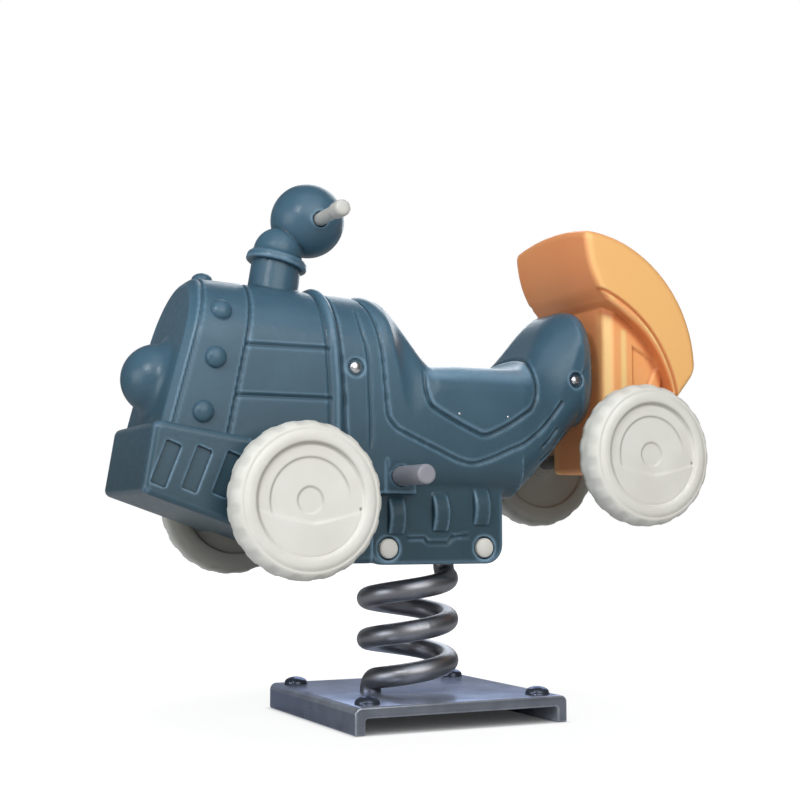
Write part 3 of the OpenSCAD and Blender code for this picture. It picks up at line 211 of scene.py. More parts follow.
def skinFinish(name, s):
    mat = bpy.data.materials.new(name)
    t = emptyTree(mat)
    out = addNode(t, "ShaderNodeOutputMaterial")
    skin = addNode(t, "ShaderNodeBsdfPrincipled", {
        "Metallic": s.get("metal", 0.0), "Specular IOR Level": s.get("specular", 0.5),
        "Specular Tint": s.get("sheen", (1, 1, 1, 1))})
    coord = addNode(t, "ShaderNodeTexCoord")
    place = addNode(t, "ShaderNodeMapping", {"Scale": s.get("stretch", (1, 1, 1))})
    cloud = addNode(t, "ShaderNodeTexNoise", {"Scale": s["cloudScale"], "Detail": 3.0})
    tint = addNode(t, "ShaderNodeValToRGB")
    for end, at, key in zip(tint.color_ramp.elements, skinSteps["cloud"], ("deep", "pale")):
        end.position, end.color = at, s[key]
    linkAll(t, (skin, 0, out, 0), (coord, "Object", place, "Vector"), (place, "Vector", cloud, "Vector"),
            (cloud, "Fac", tint, "Fac"))
    body, bodyKey = tint, "Color"
    if "low" in s:  # painted shade: the colour darkens towards the ground
        height = addNode(t, "ShaderNodeSeparateXYZ")
        riseFrom, riseTo = skinSteps["rise"]
        rise = addNode(t, "ShaderNodeMapRange", {"From Min": riseFrom, "From Max": riseTo},
                       interpolation_type="SMOOTHSTEP")
        body, bodyKey = addNode(t, "ShaderNodeMix", data_type="RGBA"), 2
        body.inputs[6].default_value = s["low"]
        linkAll(t, (coord, "Object", height, 0), (height, "Z", rise, "Value"), (rise, "Result", body, 0),
                (tint, "Color", body, 7))
    if "fade" in s:  # painted light: faces turned to the side take a paler, lit colour
        litSideTint = addNode(t, "ShaderNodeAttribute", attribute_name="fade")
        body, bodyKey = tintOver(t, body, bodyKey, litSideTint, "Fac", s["fade"]), 2
    # edges lighten towards the edge colour: partly wear, partly painted highlight and sheen
    fleck = addNode(t, "ShaderNodeTexNoise", {"Scale": s["fleckScale"], "Detail": 4.0, "Roughness": 0.6})
    wearAndSheen = addNode(t, "ShaderNodeAttribute", attribute_name="edge")
    edgeBreak = addNode(t, "ShaderNodeMapRange", {
        "From Min": skinSteps["wearAndSheen"][0], "From Max": skinSteps["wearAndSheen"][1], "To Min": s.get("edgeFloor", 0.5)})
    edgeShare = addNode(t, "ShaderNodeMath", operation="MULTIPLY")
    linkAll(t, (place, "Vector", fleck, "Vector"), (fleck, "Fac", edgeBreak, "Value"), (wearAndSheen, "Fac", edgeShare, 0),
            (edgeBreak, "Result", edgeShare, 1))
    edged = tintOver(t, body, bodyKey, edgeShare, "Value", s["edge"])
    # marked hollows and shaded places darken towards a painted shade colour
    paintedShade = addNode(t, "ShaderNodeAttribute", attribute_name="shadeMask")
    shadedTint = tintOver(t, edged, 2, paintedShade, "Fac", s["paintedShade"])
    rough = addNode(t, "ShaderNodeMapRange", {
        "From Min": skinSteps["cloud"][0], "From Max": skinSteps["cloud"][1],
        "To Min": s["rough"][0], "To Max": s["rough"][1]})
    peel = addNode(t, "ShaderNodeTexNoise", {"Scale": s["peelScale"], "Detail": 2.0})
    bump = addNode(t, "ShaderNodeBump", {"Strength": s["peel"], "Distance": 0.001})
    linkAll(t, (shadedTint, 2, skin, "Base Color"), (fleck, "Fac", rough, "Value"), (rough, "Result", skin, "Roughness"),
            (place, "Vector", peel, "Vector"), (peel, "Fac", bump, "Height"), (bump, "Normal", skin, "Normal"))
    return mat


# every finish: a lighter edge colour for worn and painted-highlit edges, and a darker colour for painted shade in
# hollows
shellBlue = skinFinish("shellBlue", {
    "deep": srgb(62, 92, 110), "pale": srgb(72, 104, 123), "edge": srgb(126, 159, 183), "paintedShade": srgb(40, 62, 75),
    "low": srgb(52, 76, 88), "edgeFloor": 0.75, "rough": (0.28, 0.38), "specular": 0.4, "cloudScale": 9.0,
    "fleckScale": 120.0, "peelScale": 170.0, "peel": 0.28})
# the fade colour is a paler, lit orange painted on faces turned to the side
tenderOrange = skinFinish("tenderOrange", {
    "deep": srgb(249, 158, 102), "pale": srgb(253, 168, 110), "edge": srgb(255, 222, 150),
    "paintedShade": srgb(190, 104, 52), "fade": srgb(250, 192, 120), "edgeFloor": 0.85, "rough": (0.44, 0.54),
    "cloudScale": 7.0, "fleckScale": 110.0, "peelScale": 300.0, "peel": 0.12})
wheelCream = skinFinish("wheelCream", {
    "deep": srgb(220, 218, 210), "pale": srgb(229, 228, 222), "edge": srgb(240, 240, 236),
    "paintedShade": srgb(120, 118, 108), "rough": (0.45, 0.55), "cloudScale": 12.0, "fleckScale": 130.0,
    "peelScale": 320.0, "peel": 0.10})
gripGrey = skinFinish("gripGrey", {
    "deep": srgb(196, 194, 188), "pale": srgb(208, 207, 202), "edge": srgb(228, 228, 224),
    "paintedShade": srgb(120, 118, 112), "rough": (0.32, 0.42), "cloudScale": 30.0, "fleckScale": 200.0,
    "peelScale": 500.0, "peel": 0.08})
footrestMauve = skinFinish("footrestMauve", {
    "deep": srgb(140, 140, 149), "pale": srgb(152, 152, 161), "edge": srgb(184, 186, 194),
    "paintedShade": srgb(70, 68, 76), "rough": (0.40, 0.50), "cloudScale": 30.0, "fleckScale": 200.0,
    "peelScale": 420.0, "peel": 0.10})
springCoat = skinFinish("springCoat", {
    "deep": srgb(144, 145, 151), "pale": srgb(154, 155, 161), "edge": srgb(168, 170, 176), "paintedShade": srgb(50, 50, 54),
    "rough": (0.36, 0.40), "cloudScale": 14.0, "fleckScale": 90.0, "peelScale": 260.0, "peel": 0.04,
    "metal": 1.0})
plateCoat = skinFinish("plateCoat", {
    "deep": srgb(70, 75, 86), "pale": srgb(78, 83, 94), "edge": srgb(180, 186, 196), "paintedShade": srgb(44, 48, 58),
    "rough": (0.20, 0.25), "cloudScale": 5.0, "fleckScale": 22.0, "peelScale": 420.0, "peel": 0.003,
    "metal": 0.55, "sheen": srgb(170, 190, 245)})
zincSteel = skinFinish("zincSteel", {
    "deep": srgb(150, 152, 158), "pale": srgb(186, 188, 192), "edge": srgb(214, 214, 216),
    "paintedShade": srgb(70, 70, 72), "rough": (0.28, 0.46), "cloudScale": 40.0, "fleckScale": 260.0,
    "peelScale": 700.0, "peel": 0.10, "metal": 1.0, "stretch": (1, 0.15, 1)})
chromeSteel = skinFinish("chromeSteel", {
    "deep": srgb(196, 196, 202), "pale": srgb(222, 222, 226), "edge": srgb(240, 240, 242),
    "paintedShade": srgb(60, 60, 64), "rough": (0.24, 0.30), "cloudScale": 30.0, "fleckScale": 120.0,
    "peelScale": 900.0, "peel": 0.01, "metal": 1.0})
turnedBrass = skinFinish("turnedBrass", {
    "deep": srgb(186, 150, 80), "pale": srgb(212, 178, 104), "edge": srgb(232, 206, 140),
    "paintedShade": srgb(96, 74, 36), "rough": (0.24, 0.38), "cloudScale": 60.0, "fleckScale": 300.0,
    "peelScale": 900.0, "peel": 0.08, "metal": 1.0, "stretch": (1, 6, 1)})
print("finishes made")


# forms are distance fields in millimetres, negative inside
def ease(t):
    return 0.5 - 0.5 * np.cos(np.pi * np.clip(t, 0, 1))


def step(d, width):
    t = np.clip(d / width + 0.5, 0, 1)
    return t * t * (3 - 2 * t)


def past(d, at):
    return step(d - at[0], at[1])


def roundMax(a, b, r):
    return np.minimum(np.maximum(a, b), -r) + np.hypot(np.maximum(a + r, 0), np.maximum(b + r, 0))


def roundMin(a, b, r):
    return np.maximum(np.minimum(a, b), r) - np.hypot(np.maximum(r - a, 0), np.maximum(r - b, 0))


def bevelMax(a, b, size, r):
    return roundMax(roundMax(a, b, r), (a + b + size) * 0.7071, r)


def roundBox(dx, dy, r):
    return np.hypot(np.maximum(dx + r, 0), np.maximum(dy + r, 0)) + np.minimum(np.maximum(dx, dy) + r, 0) - r


def groove(d, half, depth):
    return depth * (0.5 + 0.5 * np.cos(np.pi * np.clip(d / half, -1, 1)))


def curve(points, parts):
    p = np.array(points, float)
    p = np.vstack([2 * p[0] - p[1], p, 2 * p[-1] - p[-2]])
    out = []
    for i in range(1, len(p) - 2):
        for t in np.linspace(0, 1, parts, endpoint=False):
            a, b, c, d = p[i - 1], p[i], p[i + 1], p[i + 2]
            out.append(0.5 * (2 * b + (c - a) * t + (2 * a - 5 * b + 4 * c - d) * t * t
                              + (3 * b - a - 3 * c + d) * t ** 3))
    out.append(p[-2])
    return np.array(out)


def lineDistance(x, z, line):
    best = None
    for (ax, az), (bx, bz) in zip(line[:-1], line[1:]):
        ux, uz = bx - ax, bz - az
        t = np.clip(((x - ax) * ux + (z - az) * uz) / (ux * ux + uz * uz + 1e-9), 0, 1)
        d = (x - ax - t * ux) ** 2 + (z - az - t * uz) ** 2
        best = d if best is None else np.minimum(best, d)
    return np.sqrt(best)


def insideLine(x, z, line):
    inside = np.zeros(np.broadcast(x, z).shape, bool)
    for (ax, az), (bx, bz) in zip(line, np.roll(line, -1, axis=0)):
        if az != bz:
            inside ^= ((az > z) != (bz > z)) & (x < (bx - ax) * (z - az) / (bz - az) + ax)
    return inside


def profile(z, points):
    p = np.array(points, float)
    p = p[np.argsort(p[:, 0])]
    return np.interp(z, p[:, 0], p[:, 1])


def netSurface(values):
    inside = values < 0
    count = np.zeros(tuple(n - 1 for n in values.shape), np.int8)
    corners = [(a, b, c) for a in (0, 1) for b in (0, 1) for c in (0, 1)]
    nx, ny, nz = count.shape
    for a, b, c in corners:
        count += inside[a:a + nx, b:b + ny, c:c + nz]
    cells = np.argwhere((count > 0) & (count < 8))
    index = np.full(count.shape, -1, np.int32)
    index[tuple(cells.T)] = np.arange(len(cells))
    at = {k: values[cells[:, 0] + k[0], cells[:, 1] + k[1], cells[:, 2] + k[2]] for k in corners}
    total, hits = np.zeros((len(cells), 3)), np.zeros(len(cells))
    for k in corners:
        for axis in range(3):
            if k[axis]:
                continue
            far = tuple(1 if i == axis else k[i] for i in range(3))
            v0, v1 = at[k], at[far]
            cross = (v0 < 0) != (v1 < 0)
            share = np.where(cross, v0 / np.where(cross, v0 - v1, 1), 0)
            point = np.tile(np.array(k, float), (len(cells), 1))
            point[:, axis] = share
            total += point * cross[:, None]
            hits += cross
    verts = cells + total / hits[:, None]
    faces = []
    for axis in range(3):
        b, c = (axis + 1) % 3, (axis + 2) % 3
        low = [slice(None)] * 3
        high = [slice(None)] * 3
        low[axis], high[axis] = slice(0, -1), slice(1, None)
        s0, s1 = inside[tuple(low)], inside[tuple(high)]
        spots = np.argwhere(s0 != s1)
        keep = (spots[:, b] > 0) & (spots[:, c] > 0) \
            & (spots[:, b] < values.shape[b] - 1) & (spots[:, c] < values.shape[c] - 1)
        spots = spots[keep]
        leaving = s0[tuple(spots.T)]
        ring = []
        for db, dc in ((-1, -1), (0, -1), (0, 0), (-1, 0)):
            spot = spots.copy()
            spot[:, b] += db
            spot[:, c] += dc
            ring.append(index[tuple(spot.T)])
        quad = np.stack(ring, 1)
        quad[~leaving] = quad[~leaving][:, ::-1]
        faces.append(quad)
    return verts, np.vstack(faces)


def fieldSlope(form, p, gap):
    out = np.empty_like(p)
    for axis in range(3):
        a, b = p.copy(), p.copy()
        a[:, axis] += gap
        b[:, axis] -= gap
        out[:, axis] = (form(*a.T) - form(*b.T)) / (2 * gap)
    return out


netting = {"rounds": 3, "gap": 0.3, "normalGap": 0.45, "weakest": 0.15, "stride": 0.7, "quick": 1.7,
           "edge": (0.02, 0.16), "shadeMask": (0.02, 0.14)}


def meshField(form, low, high, pitch):
    axes = [np.arange(low[i], high[i] + pitch, pitch) for i in range(3)]
    axes[1] = np.arange(pitch / 2, high[1] + pitch, pitch)  # one half, mirrored below
    x, y, z = (axes[i].reshape([-1 if j == i else 1 for j in range(3)]) for i in range(3))
    values = np.asarray(np.broadcast_to(form(x, y, z), tuple(len(a) for a in axes)), np.float32)
    values = np.concatenate([values[:, ::-1], values], axis=1)
    verts, faces = netSurface(values)
    p = verts * pitch + np.array([axes[0][0], -axes[1][-1], axes[2][0]])
    for _ in range(netting["rounds"]):  # pull every point onto the form
        slope = fieldSlope(form, p, netting["gap"])
        size = np.maximum((slope ** 2).sum(1), netting["weakest"])
        move = slope * (form(*p.T) / size)[:, None]
        length = np.sqrt((move ** 2).sum(1))
        p -= move * np.minimum(1, netting["stride"] * pitch / np.maximum(length, 1e-6))[:, None]
    slope = fieldSlope(form, p, netting["normalGap"])
    normals = slope / np.maximum(np.sqrt((slope ** 2).sum(1)), 1e-6)[:, None]
    return p, faces, normals


def bendOf(p, faces, normals):
    total, hits = np.zeros_like(p), np.zeros(len(p))
    for i in range(4):
        a, b = faces[:, i], faces[:, (i + 1) % 4]
        for m, n in ((a, b), (b, a)):
            hits += np.bincount(m, minlength=len(p))
            for k in range(3):
                total[:, k] += np.bincount(m, weights=p[n, k], minlength=len(p))
    return -((total / np.maximum(hits, 1)[:, None] - p) * normals).sum(1)


def spread(values, faces):
    count = len(values)
    total, hits = np.zeros(count), np.zeros(count)
    mean = values[faces].mean(1)
    for i in range(4):
        total += np.bincount(faces[:, i], weights=mean, minlength=count)
        hits += np.bincount(faces[:, i], minlength=count)
    return total / np.maximum(hits, 1)


def smoothAll(mesh):
    mesh.polygons.foreach_set("use_smooth", np.ones(len(mesh.polygons), bool))


def markPoints(mesh, mark, values):
    layer = mesh.attributes.new(mark, "FLOAT", "POINT")
    layer.data.foreach_set("value", np.asarray(values, np.float32))


def pieceFrom(name, verts, faces, mat, normals=None, marks=None, sharp=None):
    mesh = bpy.data.meshes.new(name)
    mesh.from_pydata((np.asarray(verts) / 1000).tolist(), [], faces)
    mesh.materials.append(mat)
    smoothAll(mesh)
    for mark, values in (marks or {}).items():
        markPoints(mesh, mark, values)
    if normals is not None:
        mesh.normals_split_custom_set_from_vertices(normals.tolist())
    if sharp:
        mesh.set_sharp_from_angle(angle=math.radians(sharp))
    mesh.update()
    return addObject(name, mesh)


def fieldPiece(name, form, s, mat, extra=None):
    pitch = s["pitch"] * 1
    p, faces, normals = meshField(form, s["from"], s["to"], pitch)
    bend = spread(bendOf(p, faces, normals) / pitch, faces)
    # convex edges get the lighter edge colour (wear and painted highlight), hollows the darker colour (painted
    # shade)
    marks = {"edge": np.clip((bend - netting["edge"][0]) / netting["edge"][1], 0, 1),
             "shadeMask": np.clip((-bend - netting["shadeMask"][0]) / netting["shadeMask"][1], 0, 1)}
    for mark, values in (extra(p, normals) if extra else {}).items():
        marks[mark] = np.clip(np.maximum(marks.get(mark, 0), values), 0, 1)
    print(name, len(p), "points", 2 * len(faces), "triangles")
    return pieceFrom(name, p, faces.tolist(), mat, normals, marks)


def bandFaces(rows, n):
    return [(j * n + i, j * n + (i + 1) % n, (j + 1) * n + (i + 1) % n, (j + 1) * n + i)
            for j in range(rows - 1) for i in range(n)]


def fit(obj, body, slotName, *nodes):
    if nodes:
        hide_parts(*nodes)
    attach(obj, body)


# barrel, nose plate, lamp, chimney and handle ball
boiler = {
    "from": (68, 0, 226), "to": (470, 112, 810), "pitch": 2.66,
    "half": 105.0, "topRadius": 100.0, "rear": (113.0, 632.0), "front": (427.0, 648.0), "noseZ": 430.0,
    "noseLean": 14.3, "noseBevel": (11.0, 2.5), "keelRear": (165.0, 233.0), "keelFrontZ": 325.0, "keelCos": 0.944,
    "keelEdge": 12.0,
    "parting": [(300, 91), (441, 91), (470, 92.7), (521, 97.6), (565, 103), (587, 106), (604, 109), (632, 117),
                (660, 121)],
    "bead": [(400, 171.5), (438, 171.5), (482, 172), (525, 175.3), (561, 177.5), (600, 178.5), (640, 178)],
    "beadGroove": [(400, 157), (430, 158), (468, 159.4), (505, 163), (547, 167), (597, 168.5), (640, 168)],
    "crease": [(400, 118), (440, 118.3), (520, 121.6), (549, 125.8), (571, 130.7), (593, 132)],
    "skirt": [(91.6, 462), (90.6, 451), (87.0, 442), (80.2, 434), (71.7, 427.5), (39, 413), (6, 399), (-19, 388),
              (-32.6, 383.7), (-46, 381), (-61.5, 382.7), (-87, 391), (-113, 402), (-140, 413), (-170, 434),
              (-194, 458), (-212, 479)],
    "seams": (541.0, 469.0), "rivetGroove": (329.0, 440.0, 0.193, 1.018),
    "lamp": (408.6, 0.0, 496.0, 51.0), "lampBlend": 16.0, "chimney": (233.0, 638.1, 8.0, 38.0),
    "collar": (226.96, 681.1, 14.0, 46.0), "dome": (224.85, 0.0, 696.1, 37.0), "ball": (177.85, 0.0, 748.1, 56.0),
    "gripSocket": (741.1, 11.4, 50.0), "screw": (142.0, 516.0, 12.5, 3.2),
    # half width and depth of grooves and bead, and where they start or end
    "groove": (3.8, 2.8), "seamGroove": (3.8, 2.7), "creaseGroove": (3.6, 1.9), "skirtGroove": (4.2, 2.9),
    "skirtFrom": (60, 20), "partingFrom": (452, 12), "beadFrom": (330, 60), "creaseFrom": (404, 20),
    "creaseTo": (604, 16), "noseInset": 14.5, "noseGroove": (3.9, 2.3), "beadSize": (9.0, 7.0), "beadFoot": 11.5,
    "footGroove": (3.4, 1.2),
    # where boiler and saddle overlap behind the parting
    "flush": (386, 8), "overlap": 14, "tuck": 0.06, "endEdge": 2.6, "rearFoot": (113.5, 334),
}
boiler["skirtLine"] = curve(boiler["skirt"], 4)


def boilerTop(x):
    (x0, z0), (x1, z1) = boiler["rear"], boiler["front"]
    return z0 + (z1 - z0) * (x - x0) / (x1 - x0)


def keelLine(x):
    x0, z0 = boiler["keelRear"]
    return z0 + (boiler["keelFrontZ"] - z0) * np.maximum(0, x - x0) / (boiler["front"][0] - x0)


def ball(x, y, z, c):
    return np.sqrt((x - c[0]) ** 2 + (y - c[1]) ** 2 + (z - c[2]) ** 2) - c[3]


def tilted(x, z, at, lean):
    c, s = math.cos(math.radians(lean)), math.sin(math.radians(lean))
    return (x - at[0]) * c + (z - at[1]) * s, -(x - at[0]) * s + (z - at[1]) * c


def sunkHole(x, z, side, cx, cz, radius, floor):
    return -np.maximum(np.hypot(x - cx, z - cz) - radius, floor - side)


def flushZone(z):
    return past(z, boiler["flush"])


def partingGroove(x, side, z):
    s = boiler
    skirt = groove(lineDistance(x, z, s["skirtLine"]), *s["skirtGroove"]) * past(side, s["skirtFrom"])
    parting = groove(x - profile(z, s["parting"]), *s["groove"]) * past(z, s["partingFrom"])
    return np.maximum(skirt, parting)


def boilerForm(x, y, z):
    s = boiler
    side = np.abs(y)
    lean = math.radians(s["noseLean"])
    nose = ((x - s["front"][0]) + math.tan(lean) * (z - s["noseZ"])) * math.cos(lean)
    arch = roundBox(side - s["half"], z - boilerTop(x), s["topRadius"])
    # beads and grooves round the barrel
    beadGap = x - profile(z, s["bead"])
    beadWidth, beadRise = s["beadSize"]
    arch = arch - beadRise * np.maximum(0, 1 - (beadGap / beadWidth) ** 2) * past(z, s["beadFrom"])
    arch = arch + groove(beadGap - s["beadFoot"], *s["footGroove"])
    arch = arch + groove(x - profile(z, s["beadGroove"]), *s["groove"])
    creaseEnd = step(s["creaseTo"][0] - z, s["creaseTo"][1])
    arch = arch + groove(x - profile(z, s["crease"]), *s["creaseGroove"]) * creaseEnd * past(z, s["creaseFrom"])
    rx, rz, tilt, length = s["rivetGroove"]
    rivetLine = (x - rx + tilt * (z - rz)) / length
    arch = arch + groove(rivetLine, *s["seamGroove"])
    staves = step(beadGap - 8, 3) * step(-rivetLine, 3)
    for seam in s["seams"]:
        arch = arch + groove(z - seam, *s["seamGroove"]) * staves
    arch = arch + groove(nose + s["noseInset"], *s["noseGroove"])
    form = roundMax(arch, (keelLine(x) - z) * s["keelCos"], s["keelEdge"])
    form = bevelMax(form, nose, *s["noseBevel"])
    form = roundMin(form, ball(x, y, z, s["lamp"]), s["lampBlend"])
    # chimney, collar, dome and ball
    u, w = tilted(x, z, s["chimney"][:2], s["chimney"][2])
    chimney = roundMax(np.hypot(u, y) - s["chimney"][3] + 0.02 * w, np.abs(w - 12) - 38, 2.0)
    form = roundMin(form, chimney, 3.0)
    u, w = tilted(x, z, s["collar"][:2], s["collar"][2])
    collar = roundBox(np.hypot(u, y) - s["collar"][3] + 0.10 * w, np.abs(w) - 6.5, 4.0)
    stack = roundMin(collar, ball(x, y, z, s["dome"]), 9.0)
    stack = roundMin(stack, ball(x, y, z, s["ball"]), 2.5)
    form = np.minimum(form, stack)
    # sockets of the grips, screw dimples and the rear edge
    form = roundMax(form, sunkHole(x, z, side, s["ball"][0], *s["gripSocket"]), 1.5)
    sx, sz, radius, depth = s["screw"]
    form = roundMax(form, sunkHole(x, z, side, sx, sz, radius, s["half"] - depth), 1.8)
    flush = flushZone(z)
    rear = profile(z, s["parting"]) + 0.7 * (1 - flush)
    form = form + s["tuck"] * np.maximum(0, rear - x) * flush
    form = form + partingGroove(x, side, z) * step(rear + 40 - x, 10)
    rear = rear - s["overlap"] * flush
    footX, footZ = s["rearFoot"]
    rear = rear + (footX - rear) * step(footZ - z, 3)
    return roundMax(form, rear - x, s["endEdge"])


boilerSkin = fieldPiece("boilerSkin", boilerForm, boiler, shellBlue)
fit(boilerSkin, "rider", "shell_plastic", "boiler_shell")

# bumper under the nose
bumper = {
    "from": (295, 0, 270), "to": (470, 116, 445), "pitch": 1.9,
    "half": 112.0, "front": 449.0, "frontZ": 377.5, "lean": 9.0, "rear": 300.0, "top": (427.0, 430.0), "fall": 20.0,
    "topCos": 0.985, "drop": 3.0, "edge": 9.0, "rearEdge": 4.0, "bevel": (6.0, 3.0),
    "slots": [(424.0, 371.0), (380.5, 364.3), (337.0, 357.5)], "slotHalf": (11.0, 31.0), "slotSlant": 21.0,
    "slotDepth": 5.0, "slotCorner": 3.0, "slotEdge": 1.6,
}


def bumperForm(x, y, z):
    s = bumper
    lean = math.radians(s["lean"])
    side = np.abs(y)
    tx, tz = s["top"]
    top = (z - tz + s["fall"] * (tx - np.minimum(x, tx)) / (tx - s["rear"])) * s["topCos"]
    low = (keelLine(x) - s["drop"] - z) * boiler["keelCos"]
    nose = ((x - s["front"]) + math.tan(lean) * (z - s["frontZ"])) * math.cos(lean)
    form = bevelMax(side - s["half"], top, *s["bevel"])
    form = bevelMax(form, nose, *s["bevel"])
    form = roundMax(form, low, s["edge"])
    form = roundMax(form, s["rear"] - x, s["rearEdge"])
    long, tall = s["slotHalf"]
    for at in s["slots"]:
        u, w = tilted(x, z, at, s["slotSlant"])
        slot = np.maximum(roundBox(np.abs(u) - long, np.abs(w) - tall, s["slotCorner"]),
                          s["half"] - s["slotDepth"] - side)
        form = roundMax(form, -slot, s["slotEdge"])
    return form


bumperSkin = fieldPiece("bumperSkin", bumperForm, bumper, shellBlue)
fit(bumperSkin, "rider", "shell_plastic", "boiler_shell")

# seat, tail, footrest pads and spring housing
saddle = {
    "from": (-298, 0, 222), "to": (142, 112, 646), "pitch": 2.6,
    "half": 105.0, "cantleHalf": 95.0, "seatZ": 527.0, "seatFront": 3.0, "seatRear": -138.0,
    "pommel": (84.0, 630.0), "cantle": (-251.0, 631.0), "tailLength": 43.0, "tailZ": 526.0,
    "tailPinch": (0.82, 0.18), "bellyZ": 330.0, "bellyRear": -140.0, "bellyEdge": 58.0, "tailEdge": 44.0,
    "seatEdge": 40.0, "frontEdge": 100.0, "rearEdge": 84.0, "edgeRate": (1.6, 0.8),
    "pad": [(36, 600), (34, 545), (32.2, 520), (30.6, 495), (27.3, 480), (20.7, 466), (6, 456), (-28, 439),
            (-53, 428), (-63.5, 424), (-74, 424), (-88, 429), (-114, 441.6), (-140, 457.8), (-153, 467.5),
            (-160, 483), (-162.3, 503), (-159.5, 520), (-155.5, 536), (-153, 556), (-155, 580), (-158, 640)],
    "padBow": 22.0, "padRise": 2.8, "padGroove": (4.6, 2.8),
    "ridge": (15, 13.0, 4.5), "ridgeFrom": (560, 60),
    "louvres": [[(-202, 437), (-188, 421), (-173, 407)], [(-218, 434), (-199, 405), (-177, 389)],
                [(-196, 392), (-182, 378), (-164, 364)]],
    "louvreGroove": (4.0, 3.0), "louvreFrom": (50, 20),
    "footrest": (68.0, 360.0, 26.0, 100.0), "sleeve": 14.6, "screw": (-240.0, 515.0, 12.5, 90.5),
    "housing": (113.0, 84.0, 230.0, 345.0, 28.0), "caps": (80.0, 254.0, 17.0, 79.0),
    "tabs": [(69.0, 275.0), (-4.0, 279.0), (-73.0, 288.0)], "tabHalf": 13.0, "tabFace": 96.0, "tabTop": 352,
    "belt": [(48.6, 269), (22, 269), (15.6, 262), (-17.8, 262), (-24.6, 270.5), (-53.5, 273)],
    "beltGroove": (2.8, 2.4),
    "pocket": (95.3, 62.3, 280.0),
}
saddle["padLine"] = curve(saddle["pad"], 4)


def seatRise(x):
    s = saddle
    frontUp = (x - s["seatFront"]) / (s["pommel"][0] - s["seatFront"])
    rearUp = (s["seatRear"] - x) / (s["seatRear"] - s["cantle"][0])
    return frontUp, rearUp


def seatLine(x):
    s = saddle
    frontUp, rearUp = seatRise(x)
    front = (s["pommel"][1] - s["seatZ"]) * ease(frontUp)
    rear = (s["cantle"][1] - s["seatZ"]) * ease(rearUp)
    return s["seatZ"] + front + rear


def padGap(x, side, z):
    bowed = x + saddle["padBow"] * (1 - np.minimum(side / saddle["half"], 1) ** 2)
    inside = np.where(insideLine(bowed, z, saddle["padLine"]), 1.0, -1.0)
    return lineDistance(bowed, z, saddle["padLine"]), inside


